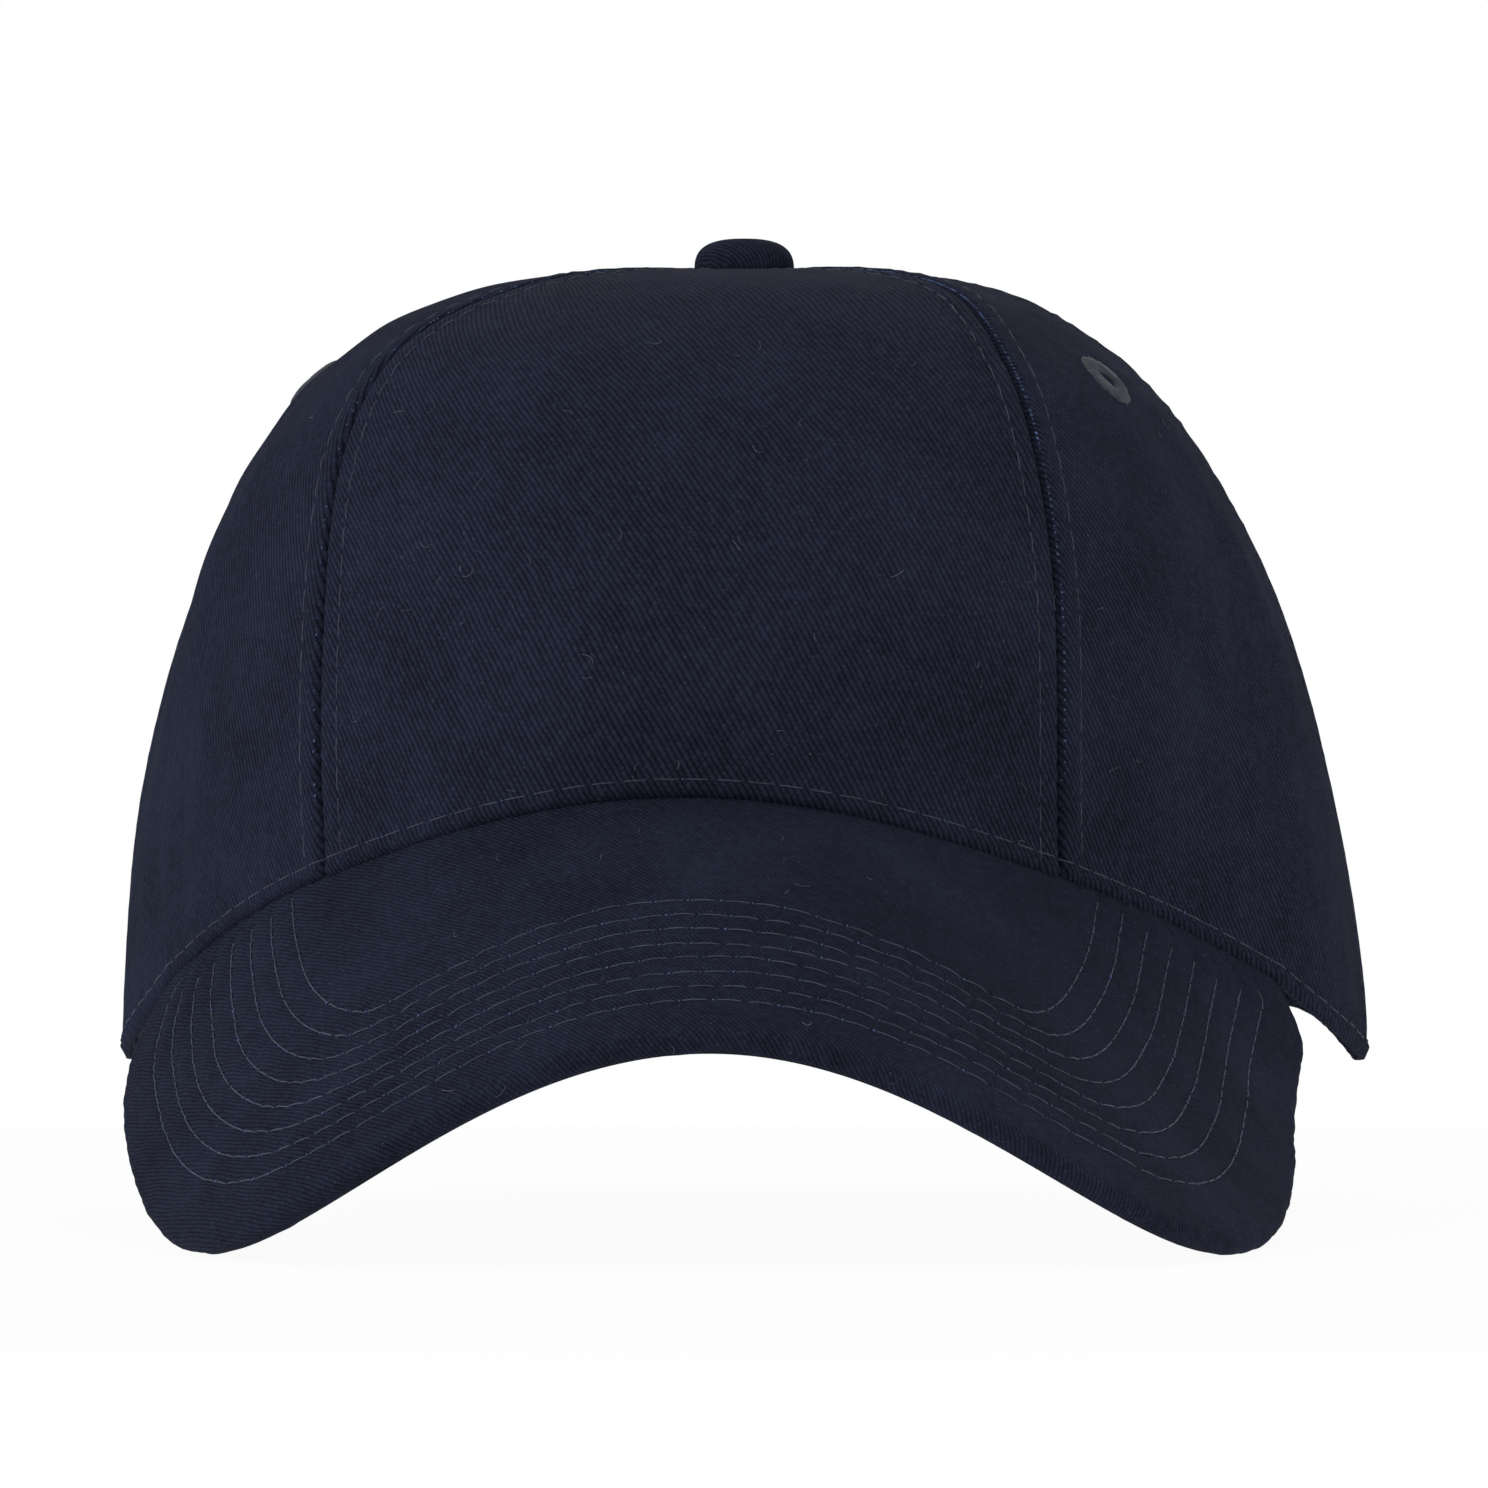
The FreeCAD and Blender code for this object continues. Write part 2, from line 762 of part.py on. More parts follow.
def button_cover(placement):
    """The cloth over the button, with its hem turned under."""
    body = new_body("button_cover")
    dome(body, "Additive", "cover_dome", plus("button_radius"), plus("button_dome_height"))
    dome(body, "Subtractive", "cover_hollow", plus("button_radius", "-button_cover_thickness"),
         plus("button_dome_height", "-button_cover_thickness"))
    under = [(-1, "button_hem_thickness")]
    hem = bound_sketch(body, "hem", "XZ_Plane", [
        (plus("button_hem_radius"), under),
        (plus("button_radius"), under),
        (plus("button_radius"), [0.0]),
        (plus("button_hem_radius"), [0.0]),
    ])
    turn(body, hem)
    body.Placement = placement


def button_shell(placement):
    """The domed metal shell inside the cover."""
    body = new_body("button_shell")
    outer = plus("button_radius", "-button_cover_thickness", "-button_fit")
    high = plus("button_dome_height", "-button_cover_thickness", "-button_fit")
    dome(body, "Additive", "shell_dome", outer, high)
    dome(body, "Subtractive", "shell_hollow", outer + [(-1, "button_shell_thickness")],
         high + [(-1, "button_shell_thickness")])
    body.Placement = placement * Placement(Vector(0, 0, size("button_fit")), Rotation())


def button_back(placement):
    """The disc that closes the shell, with its stem and the flare that holds the washer."""
    body = new_body("button_back")
    low = plus("button_fit")
    high = plus("button_fit", "button_back_thickness")
    washer_low = [(-1, "button_hem_thickness"), (-2, "button_fit"), (-1, "panel_thickness"),
                  (-1, "piece_gap"), (-1, "washer_thickness")]
    flare_high = washer_low + [(-1, "button_fit")]
    flare_low = flare_high + [(-1, "button_flare_thickness")]
    outline = bound_sketch(body, "outline", "XZ_Plane", [
        ([0.0], flare_low),
        (plus("button_flare_radius"), flare_low),
        (plus("button_flare_radius"), flare_high),
        (plus("button_stem_radius"), flare_high),
        (plus("button_stem_radius"), low),
        (plus("button_back_radius"), low),
        (plus("button_back_radius"), high),
        ([0.0], high),
    ])
    turn(body, outline)
    body.Placement = placement


def button_washer(placement):
    """The washer that the stem is flared over, inside the crown."""
    body = new_body("button_washer")
    high = [(-1, "button_hem_thickness"), (-2, "button_fit"), (-1, "panel_thickness"),
            (-1, "piece_gap")]
    low = high + [(-1, "washer_thickness")]
    hole = plus("button_stem_radius", "button_fit")
    section = bound_sketch(body, "section", "XZ_Plane", [
        (hole, low),
        (plus("washer_radius"), low),
        (plus("washer_radius"), high),
        (hole, high),
    ])
    turn(body, section)
    body.Placement = placement


def button():
    """The covered button, riveted through the hole where the panels meet."""
    seat = size("crown_height") + 2 * size("button_fit") + size("button_hem_thickness")
    placement = Placement(Vector(0, 0, seat), Rotation())
    button_cover(placement)
    button_shell(placement)
    button_back(placement)
    button_washer(placement)


# ---------------------------------------------------------------- eyelets


def eyelet(label, azimuth):
    """One embroidered eyelet: a neck through the panel and a ring on each face."""
    body = new_body(label)
    hole = plus("eyelet_hole_radius")
    neck = plus("eyelet_neck_radius")
    rim = plus("eyelet_radius")
    over = plus("eyelet_flange_gap")
    top = plus("eyelet_flange_gap", "eyelet_flange_thickness")
    under = [(-1, "panel_thickness"), (-1, "eyelet_flange_gap")]
    bottom = under + [(-1, "eyelet_flange_thickness")]
    section = bound_sketch(body, f"{label}_section", "XZ_Plane", [
        (hole, bottom), (rim, bottom), (rim, under), (neck, under),
        (neck, over), (rim, over), (rim, top), (hole, top),
    ])
    turn(body, section)
    height = size("eyelet_height")
    facing = Rotation(Vector(0, 0, 1), outward(azimuth, height))
    body.Placement = Placement(outer_point(azimuth, height), facing)


# ---------------------------------------------------------------- strap and clasp


def strap():
    """The closure strap, a slanted band about an upright axis, so that it slides along itself."""
    body = new_body("strap")
    low = plus("strap_low")
    high = plus("strap_low", "strap_width")
    section = bound_sketch(body, "strap_section", "XZ_Plane", [
        (plus("strap_low_radius", "-strap_thickness"), low),
        (plus("strap_low_radius"), low),
        (plus("strap_high_radius"), high),
        (plus("strap_high_radius", "-strap_thickness"), high),
    ])
    band = turn(body, section)
    band.setExpression("Angle", "dims.strap_sewn_azimuth + dims.strap_tail_azimuth")
    doc.recompute()
    spin = Rotation(Vector(0, 0, 1), 90.0 - size("strap_sewn_azimuth"))
    body.Placement = Placement(Vector(0, size("strap_axis_length"), 0), spin)


def clasp_placement():
    """The clasp's own frame: X along the strap, Y outwards, Z up the strap's width."""
    lean = math.degrees(math.atan2(size("strap_low_radius") - size("strap_high_radius"),
                                   size("strap_width")))
    radius = (size("strap_low_radius") + size("strap_high_radius") - size("strap_thickness")) / 2
    rotation = Rotation(Vector(0, 0, 1), size("clasp_azimuth")) * Rotation(Vector(1, 0, 0), lean)
    outwards = Rotation(Vector(0, 0, 1), size("clasp_azimuth")).multVec(Vector(0, radius, 0))
    middle = Vector(0, size("strap_axis_length"), size("strap_low") + size("strap_width") / 2)
    return Placement(middle + outwards, rotation)


def clasp_frame(placement):
    """The clasp's plate behind the strap, its two ears and the bar that the loop holds."""
    body = new_body("clasp_frame")
    back = [(-1, "clasp_plate_depth")]
    front = [(-1, "clasp_plate_depth"), (1, "clasp_plate_thickness")]
    full = [(2, "clasp_half_height")]
    plate = bound_sketch(body, "plate", "XY_Plane", [
        ([(-1, "clasp_plate_start")], back),
        (plus("clasp_half_length"), back),
        (plus("clasp_half_length"), front),
        ([(-1, "clasp_plate_start")], front),
    ])
    pad(body, plate, full)
    far = [(-1, "clasp_bar_offset"), (-2, "clasp_bar_radius")]
    bar_low = plus("clasp_bar_rise") + [(-2, "clasp_bar_radius")]
    ear = bound_sketch(body, "ear", "XY_Plane", [
        ([(-1, "clasp_plate_start")], back),
        (plus("clasp_half_length"), back),
        (plus("clasp_half_length"), [0.0]),
        (plus("pin_offset") + [(2, "pin_seat_radius")], plus("clasp_ear_rise")),
        (far, plus("clasp_ear_rise")),
        (far, bar_low),
        ([(-2, "clasp_plate_start")], bar_low),
    ])
    ear.setExpression("AttachmentOffset.Base.z", "dims.clasp_half_height - dims.clasp_ear_thickness")
    ear_pad = pad(body, ear, plus("clasp_ear_thickness"), midplane=False)
    seat = round_sketch(body, "pin_seat", "XY_Plane", (plus("pin_offset"), plus("pin_rise")),
                        plus("pin_seat_radius"))
    seat_bore = bore(body, seat, full)
    mirrored = body.newObject("PartDesign::Mirrored", "other_ear")
    mirrored.Originals = [ear_pad, seat_bore]
    mirrored.MirrorPlane = (origin_plane(body, "XY_Plane"), [""])
    body.Tip = mirrored
    doc.recompute()
    bar = round_sketch(body, "bar", "XY_Plane",
                       ([(-1, "clasp_bar_offset")], plus("clasp_bar_rise")),
                       plus("clasp_bar_radius"))
    pad(body, bar, full + [(-1, "clasp_ear_thickness")])
    body.Placement = placement


def clasp_lever(placement):
    """The hinged lever: a knuckle on the pin, a cover plate and a tooth that grips the strap."""
    body = new_body("clasp_lever")
    full = [(2, "lever_half_height")]
    centre = (plus("pin_offset"), plus("pin_rise"))
    knuckle = round_sketch(body, "knuckle", "XY_Plane", centre, plus("lever_knuckle_radius"))
    pad(body, knuckle, full)
    plate_top = plus("pin_rise", "lever_knuckle_radius")
    plate_low = plate_top + [(-1, "lever_plate_thickness")]
    far = plus("pin_offset", "-lever_plate_length")
    plate = bound_sketch(body, "cover_plate", "XY_Plane", [
        (far, plate_low), (plus("pin_offset"), plate_low),
        (plus("pin_offset"), plate_top), (far, plate_top),
    ])
    pad(body, plate, full)
    tooth_low = plus("pin_rise", "-lever_knuckle_radius") + [(-0.25, "lever_plate_thickness")]
    tooth_root = plus("pin_rise") + [(-0.8, "lever_knuckle_radius")]
    tooth = bound_sketch(body, "tooth", "XY_Plane", [
        (plus("pin_offset", "-lever_tooth_half_width"), tooth_root),
        (plus("pin_offset"), tooth_low),
        (plus("pin_offset", "lever_tooth_half_width"), tooth_root),
    ])
    pad(body, tooth, full)
    hole = round_sketch(body, "pin_hole", "XY_Plane", centre, plus("pin_hole_radius"))
    bore(body, hole, full + [1.0])
    body.Placement = placement


def clasp_pin(placement):
    """The pin through the ears and the lever."""
    body = new_body("clasp_pin")
    outline = round_sketch(body, "pin_outline", "XY_Plane", (plus("pin_offset"), plus("pin_rise")),
                           plus("pin_radius"))
    pad(body, outline, [(2, "pin_half_length")])
    body.Placement = placement


def clasp_loop(placement):
    """The cloth loop around the clasp's bar, whose flat end is sewn inside the rear panel."""
    body = new_body("clasp_loop")
    around = plus("clasp_bar_radius", "loop_bar_clearance", "loop_wall")
    full = [(2, "loop_half_height")]
    ring = round_sketch(body, "ring", "XY_Plane", ([0.0], [0.0]), around)
    pad(body, ring, full)
    inner = [(-1, word) for _, word in around]
    taper = [(-1, "loop_taper_length")]
    end = [(-1, "loop_length")]
    thin = plus("loop_end_half_thickness")
    tail = bound_sketch(body, "tail", "XY_Plane", [
        ([0.0], inner), ([0.0], around), (taper, thin), (end, thin),
        (end, [(-1, "loop_end_half_thickness")]), (taper, [(-1, "loop_end_half_thickness")]),
    ])
    pad(body, tail, full)
    hole = round_sketch(body, "bar_hole", "XY_Plane", ([0.0], [0.0]),
                        plus("clasp_bar_radius", "loop_bar_clearance"))
    bore(body, hole, full + [1.0])
    at_bar = Placement(Vector(-size("clasp_bar_offset"), size("clasp_bar_rise"), 0),
                       Rotation(Vector(0, 0, 1), size("loop_tilt")))
    body.Placement = placement * at_bar


# ---------------------------------------------------------------- build and export

crown_panels()
front_buckram()
seam_tapes()
sweatband()
size_label()
rear_arch_binding()
visor()
button()
for node, azimuth in eyelet_places().items():
    eyelet(node, azimuth)
strap()
clasp_frame(clasp_placement())
clasp_lever(clasp_placement())
clasp_pin(clasp_placement())
clasp_loop(clasp_placement())
doc.recompute()

for item in doc.Objects:
    if "Invalid" in item.State or "Error" in item.State:
        raise RuntimeError(f"{item.Name} did not compute: {item.State}")
for piece in pieces:
    if piece.Shape.isNull() or not piece.Shape.isValid():
        raise RuntimeError(f"{piece.Label} has no valid shape")
    if len(piece.Shape.Solids) != 1:
        raise RuntimeError(f"{piece.Label} has {len(piece.Shape.Solids)} solids")

os.makedirs("parts", exist_ok=True)
for piece in pieces:
    piece.Shape.exportStep(f"parts/{piece.Label}.step")
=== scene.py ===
"""Looks for the baseball cap: cloth panels, visor, stitching, inside trim, strap and clasp finishes.

Shapes are worked out in millimetres in the CAD frame: +Z up, the cap's front faces -Y, and +X is the
wearer's left.
An azimuth is measured from the front towards +X, and a depth is counted inwards from the crown's outer face.
"""
import math

import bpy
import numpy as np
from mathutils import Matrix, Vector
from mathutils.bvhtree import BVHTree


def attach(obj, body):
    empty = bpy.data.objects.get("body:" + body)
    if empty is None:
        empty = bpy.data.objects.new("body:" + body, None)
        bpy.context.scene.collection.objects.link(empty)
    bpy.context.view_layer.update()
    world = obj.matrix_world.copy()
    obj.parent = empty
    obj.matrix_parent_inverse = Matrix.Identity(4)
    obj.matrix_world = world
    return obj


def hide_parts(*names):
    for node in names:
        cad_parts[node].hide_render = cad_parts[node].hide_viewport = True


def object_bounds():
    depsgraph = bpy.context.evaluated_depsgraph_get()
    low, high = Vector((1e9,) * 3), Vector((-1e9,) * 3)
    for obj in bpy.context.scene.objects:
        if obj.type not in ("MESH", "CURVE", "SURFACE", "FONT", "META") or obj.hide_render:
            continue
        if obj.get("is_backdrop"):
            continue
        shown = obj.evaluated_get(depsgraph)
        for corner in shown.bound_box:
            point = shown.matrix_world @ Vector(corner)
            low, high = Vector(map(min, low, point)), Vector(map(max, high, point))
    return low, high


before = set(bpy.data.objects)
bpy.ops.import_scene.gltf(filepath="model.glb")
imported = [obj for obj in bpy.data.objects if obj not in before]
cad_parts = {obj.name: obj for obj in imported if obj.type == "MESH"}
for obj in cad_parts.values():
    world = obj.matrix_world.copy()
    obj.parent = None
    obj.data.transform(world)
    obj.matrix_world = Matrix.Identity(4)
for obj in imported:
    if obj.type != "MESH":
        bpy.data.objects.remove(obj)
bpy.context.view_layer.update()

MM = 0.001

# crown form, the same driving sizes as the part
HALF_WIDTH = 88.0
FRONT_LENGTH = 99.4
REAR_LENGTH = 100.0
HEIGHT = 111.8
SIDE_ROUNDNESS = 3.57
FRONT_ROUNDNESS = 2.62
SIDE_RISE = 1.74
FRONT_RISE = 3.87
CORNER_PINCH = 0.115
SEAM_LOW = 34.5
SEAM_HIGH = 46.1
SEAM_LEAN_POWER = 4
SIDE_SEAM = 90.0
TOP_HOLE = 3.0
CLOTH = 0.9
ARCH_HALF_WIDTH = 40.0
ARCH_HEIGHT = 51.0
ARCH_STRAIGHT = 18.0

# inside trim, depths counted inwards from the crown's outer face
BUCKRAM_DEPTH = 1.05
BUCKRAM_THICKNESS = 0.6
BUCKRAM_MARGIN = 4.0
BUCKRAM_TOP = 14.0
TAPE_DEPTH = 1.85
TAPE_THICKNESS = 0.45
TAPE_HALF_WIDTH = 5.5
TAPE_TOP = 16.0
TAPE_MARGIN = 2.5
ALLOWANCE_DEPTH = 1.0
ALLOWANCE_THICKNESS = 0.4
ALLOWANCE_HALF_WIDTH = 1.3
ALLOWANCE_MARGIN = 0.6
BAND_DEPTH_FRONT = 3.1
BAND_DEPTH_REAR = 5.6
BAND_THICKNESS = 1.0
BAND_HEIGHT = 32.0
BAND_RISE = 0.8
BAND_SIDE_RISE = 7.0
BAND_RISE_START = 48.0
BAND_RISE_END = 74.0
BAND_END = 153.0
LABEL_HALF_ANGLE = 11.0
LABEL_LOW = 43.65
LABEL_HEIGHT = 18.0
BINDING_WIDTH = 9.0
BINDING_DEPTH = 1.05
BINDING_THICKNESS = 0.4

# button and eyelets
BUTTON_RADIUS = 7.0
BUTTON_HEIGHT = 4.2
BUTTON_SEAT = 112.35
EYELET_HEIGHT = 95.8
EYELETS = {"left_side": 63.0, "right_side": -78.0, "left_rear": 142.5, "right_rear": -142.5}
EYELET_HOLE = 1.5
EYELET_RADIUS = 4.6

# strap and clasp
STRAP_AXIS = np.array([0.0, 17.0, 0.0])
STRAP_LOW_RADIUS = 78.4
STRAP_HIGH_RADIUS = 75.5
STRAP_THICKNESS = 1.2
STRAP_LOW = 14.0
STRAP_WIDTH = 20.0
STRAP_SEWN = 43.0
STRAP_TAIL = 44.0
CLASP_TURN = 17.0
CLASP_BAR = np.array([-8.2, 2.3, 0.0])
LOOP_TILT = 17.4
LOOP_LENGTH = 15.5
LOOP_HALF_HEIGHT = 9.0
LOOP_RING = 1.25

# visor form
VISOR_SLOPE = math.radians(24.35)
VISOR_SEAM_HEIGHT = 37.65
VISOR_SEAM_LENGTH = 98.8
VISOR_CURVE = 0.0093
VISOR_HALF_WIDTH = 82.0
VISOR_CENTRE = -51.0
VISOR_HALF_LENGTH = 214.2
VISOR_SQUARENESS = 3.93
VISOR_END = 66.0
VISOR_CORNER = 9.0
VISOR_TUCK = 2.4
VISOR_THICKNESS = 3.5
BOARD_DEPTH = 0.7
BOARD_THICKNESS = 2.0
EDGE_LOW = 96.0
REAR_RISE = 7.0
REAR_RISE_START = 93.0
REAR_RISE_END = 120.0
SEAT_GAP = 0.3

# sewing
STITCH_PITCH = 4.2
STITCH_LENGTH = 3.95
SIDE_PUCKER = 0.15
SEAM_STITCH = 3.9
SEAM_HALF_GAP = 0.1
REAR_SEAM_HALF_GAP = 0.12
EDGE_STITCH = 2.4
VISOR_ROWS = 8
VISOR_ROW_SPACING = 4.25
VISOR_FIRST_ROW = 9.8
THREAD = 0.095

SEED = 11
RIPPLE_WAVES = 14

# the cap's lean to the wearer's right
FRONT_LEAN = 4.6
CROWN_LEAN = 1.25
UPPER_LEAN = 0.9

# loose fibres
FIBRES = 90
FIBRE_STEPS = 9
FIBRE_SIDES = 4

# stage
FLOOR_LIGHT = 0.72
FLOOR_WHITENESS = 0.95
FLOOR_REACH = 3000.0
WORLD_FILL = 0.24
CAMERA_AIM = (0.0, 0.0, 0.045)
CAMERA_DISTANCE = 1.5
CAMERA_TURN = math.radians(1.3)
SENSOR_WIDTH = 36.0
FIELD_WIDTH = 0.2108


# ---------------------------------------------------------------- small numeric tools


def smooth(value, low, high):
    """0 below low, 1 above high, and a smooth rise between."""
    share = np.clip((np.asarray(value, float) - low) / (high - low), 0.0, 1.0)
    return share * share * (3.0 - 2.0 * share)


def bump(value, centre, width):
    """A bell of height 1 about centre."""
    return np.exp(-(((np.asarray(value, float) - centre) / width) ** 2))


def ripple(points, wavelength, seed):
    """Smooth seeded noise between about -1 and 1: plane waves in many directions."""
    source = np.random.default_rng(SEED * 1000 + seed)
    total = np.zeros(points.shape[:-1])
    for _ in range(RIPPLE_WAVES):
        direction = source.normal(size=3)
        direction /= np.linalg.norm(direction)
        length = wavelength * source.uniform(0.7, 1.5)
        total += np.sin(points @ direction * (2 * math.pi / length) + source.uniform(0, 2 * math.pi))
    return total / math.sqrt(RIPPLE_WAVES)


def unit(vectors):
    """Vectors scaled to length 1."""
    return vectors / np.maximum(np.linalg.norm(vectors, axis=-1, keepdims=True), 1e-9)


def spans(points):
    """Distance run along a chain of points."""
    steps = np.linalg.norm(np.diff(points, axis=0), axis=1)
    return np.concatenate([[0.0], np.cumsum(steps)])


def run_of(grid):
    """Distance up each column of a grid."""
    steps = np.linalg.norm(np.diff(grid, axis=1), axis=-1)
    return np.concatenate([np.zeros((grid.shape[0], 1)), np.cumsum(steps, axis=1)], axis=1)


def along(points, distances):
    """Points of a chain at given distances along it."""
    run = spans(points)
    return np.stack([np.interp(distances, run, points[:, axis]) for axis in range(points.shape[1])], axis=1)


def nearest(points, chain):
    """Distance from each point to the nearest point of a chain."""
    flat = points.reshape(-1, points.shape[-1])
    fine = along(chain, np.linspace(0, spans(chain)[-1], 500))
    best = np.full(len(flat), 1e9)
    for start in range(0, len(flat), 4000):
        part = flat[start:start + 4000, None, :] - fine[None, :, :]
        best[start:start + 4000] = np.sqrt((part**2).sum(-1).min(1))
    return best.reshape(points.shape[:-1])


def halve(function, low, high, rounds=42):
    """Where a rising function of an array crosses zero."""
    low = np.array(low, float)
    high = np.array(high, float)
    for _ in range(rounds):
        middle = (low + high) / 2
        below = function(middle) < 0
        low = np.where(below, middle, low)
        high = np.where(below, high, middle)
    return (low + high) / 2


# ---------------------------------------------------------------- crown surface


def crown_radius(azimuth, height):
    """Plan radius of the crown's outer face."""
    angle = np.radians(azimuth)
    side = np.sin(angle)
    ahead = np.cos(angle)
    length = np.where(ahead > 0, FRONT_LENGTH, REAR_LENGTH)
    base = 1.0 / np.hypot(side / HALF_WIDTH, ahead / length)
    front = np.clip(ahead, 0, None) ** 2
    roundness = SIDE_ROUNDNESS + (FRONT_ROUNDNESS - SIDE_ROUNDNESS) * front
    rise = SIDE_RISE + (FRONT_RISE - SIDE_RISE) * front
    share = np.clip(height / HEIGHT, 0.0, 1.0)
    pinch = np.where(ahead > 0, CORNER_PINCH * np.sin(2 * angle) ** 2 * (1.0 - share), 0.0)
    return base * (1.0 - share**rise) ** (1.0 / roundness) * (1.0 - pinch)


def outer(azimuth, height):
    """Points of the crown's outer face."""
    azimuth, height = np.broadcast_arrays(np.asarray(azimuth, float), np.asarray(height, float))
    radius = crown_radius(azimuth, height)
    angle = np.radians(azimuth)
    return np.stack([radius * np.sin(angle), -radius * np.cos(angle), height], axis=-1)


def plan_radius(azimuth, height, least):
    """Plan radius of the crown's outer face, held at a least value near the top."""
    return np.maximum(crown_radius(azimuth, np.minimum(height, HEIGHT * 0.9999)), least)


def outward(azimuth, height):
    """Outward unit normals of the crown's outer face."""
    step = 0.05
    low = np.maximum(height - step, 0.0)
    high = np.minimum(height + step, HEIGHT - 1e-6)
    across = outer(azimuth + step, height) - outer(azimuth - step, height)
    up = outer(azimuth, high) - outer(azimuth, low)
    return unit(np.cross(across, up))


def wall(azimuth, height, depth=0.0):
    """Points at a depth inside the crown's outer face."""
    azimuth, height = np.broadcast_arrays(np.asarray(azimuth, float), np.asarray(height, float))
    depth = np.broadcast_to(np.asarray(depth, float), azimuth.shape)
    return outer(azimuth, height) - outward(azimuth, height) * depth[..., None]


def seam_azimuth(height):
    """Azimuth of the seam beside the front panel."""
    return SEAM_LOW + (SEAM_HIGH - SEAM_LOW) * (height / HEIGHT) ** SEAM_LEAN_POWER


def visor_top(side, ahead):
    """Height of the visor's top face above a place in plan."""
    return VISOR_SEAM_HEIGHT - (ahead - VISOR_SEAM_LENGTH) * math.tan(VISOR_SLOPE) - VISOR_CURVE * side**2


def edge_height(azimuth):
    """Height of the crown's lower edge."""
    bearing = np.abs((np.asarray(azimuth, float) + 180.0) % 360.0 - 180.0)
    turn = np.minimum(bearing, VISOR_END)

    def over_visor(height):
        point = outer(turn, height)
        return height - visor_top(point[..., 0], -point[..., 1]) - SEAT_GAP

    seat = halve(over_visor, np.zeros_like(turn), np.full_like(turn, 70.0))
    share = np.clip((bearing - VISOR_END) / (EDGE_LOW - VISOR_END), 0.0, 1.0)
    return seat * (1.0 - share) ** 2 + REAR_RISE * smooth(bearing, REAR_RISE_START, REAR_RISE_END)


def settle(points):
    """The cap's slight lean: the lower front of the crown sits a little to the wearer's right."""
    ahead = -points[..., 1]
    high = points[..., 2]
    front = smooth(ahead, 0, 75) * (1.0 - smooth(high, 98, 112)) * (1.0 - 0.85 * smooth(ahead, 96, 165))
    front = front * smooth(high, -30, 5)
    whole = CROWN_LEAN * smooth(high, 5, 45) + UPPER_LEAN * smooth(high, 60, 90)
    whole = whole * (1.0 - smooth(high, 103, 112)) * smooth(ahead, -90, -40)
    moved = points.copy()
    moved[..., 0] -= FRONT_LEAN * front + whole
    return moved


def arch_line(grow, count=90):
    """Side and height of the rear opening's outline, from the wearer's left foot over to the right one."""
    half = ARCH_HALF_WIDTH + grow
    crest = ARCH_HEIGHT + grow - ARCH_STRAIGHT
    legs = np.linspace(REAR_RISE, ARCH_STRAIGHT, 12)[:-1]
    turn = np.linspace(0, math.pi, count)
    side = np.concatenate([np.full(11, half), half * np.cos(turn), np.full(11, -half)])
    high = np.concatenate([legs, ARCH_STRAIGHT + crest * np.sin(turn), legs[::-1]])
    return side, high


def rear_azimuth(side, height):
    """Azimuth of the rear wall's point at a side offset and height."""

    def beyond(angle):
        return crown_radius(180.0 - angle, height) * np.sin(np.radians(angle)) - np.abs(side)

    angle = halve(beyond, np.zeros_like(side), np.full_like(side, 80.0))
    return 180.0 - np.sign(side) * angle


# ---------------------------------------------------------------- meshes


def make_mesh(name, vertices, faces, uv=None):
    """A smooth-shaded object from vertices in millimetres."""
    mesh = bpy.data.meshes.new(name)
    mesh.from_pydata((np.asarray(vertices) * MM).tolist(), [], faces)
    if uv is not None:
        layer = mesh.uv_layers.new(name="cloth")
        loops = np.zeros(len(mesh.loops), dtype=np.int32)
        mesh.loops.foreach_get("vertex_index", loops)
        layer.data.foreach_set("uv", np.asarray(uv)[loops].ravel())
    mesh.polygons.foreach_set("use_smooth", [True] * len(mesh.polygons))
    mesh.update()
    item = bpy.data.objects.new(name, mesh)
    bpy.context.scene.collection.objects.link(item)
    return item


def grid_faces(columns, rows, start, flip):
    """Faces of a grid whose vertices run row by row within each column."""
    faces = []
    for i in range(columns - 1):
        for k in range(rows - 1):
            near = start + i * rows + k
            quad = (near, near + rows, near + rows + 1, near + 1)
            faces.append(quad[::-1] if flip else quad)
    return faces


def shell(name, face, back, uv):
    """A closed sheet of cloth from its outer and inner grids."""
    columns, rows = face.shape[:2]
    count = columns * rows
    vertices = np.concatenate([face.reshape(-1, 3), back.reshape(-1, 3)])
    faces = grid_faces(columns, rows, 0, False) + grid_faces(columns, rows, count, True)
    rim = []
    for i in range(columns - 1):
        j = i + 1
        rim.append((i * rows, j * rows))
        rim.append((j * rows + rows - 1, i * rows + rows - 1))
    last = (columns - 1) * rows
    for k in range(rows - 1):
        rim.append((k + 1, k))
        rim.append((last + k, last + k + 1))
    for a, b in rim:
        faces.append((b, a, a + count, b + count))
    flat_uv = np.concatenate([uv.reshape(-1, 2)] * 2)
    return make_mesh(name, vertices, faces, flat_uv)


def cloth_uv(points):
    """Millimetres across and along a grid of cloth, measured on the cloth."""
    across_steps = np.linalg.norm(np.diff(points, axis=0), axis=-1)
    across = np.concatenate([np.zeros((1, points.shape[1])), np.cumsum(across_steps, axis=0)])
    across -= across[-1:] / 2
    return np.stack([across, run_of(points)], axis=-1)


def tree_of(*items):
    """A search tree over objects' faces, in metres."""
    vertices = []
    faces = []
    for item in items:
        start = len(vertices)
        vertices.extend(v.co.copy() for v in item.data.vertices)
        faces.extend([start + i for i in p.vertices] for p in item.data.polygons)
    return BVHTree.FromPolygons(vertices, faces)


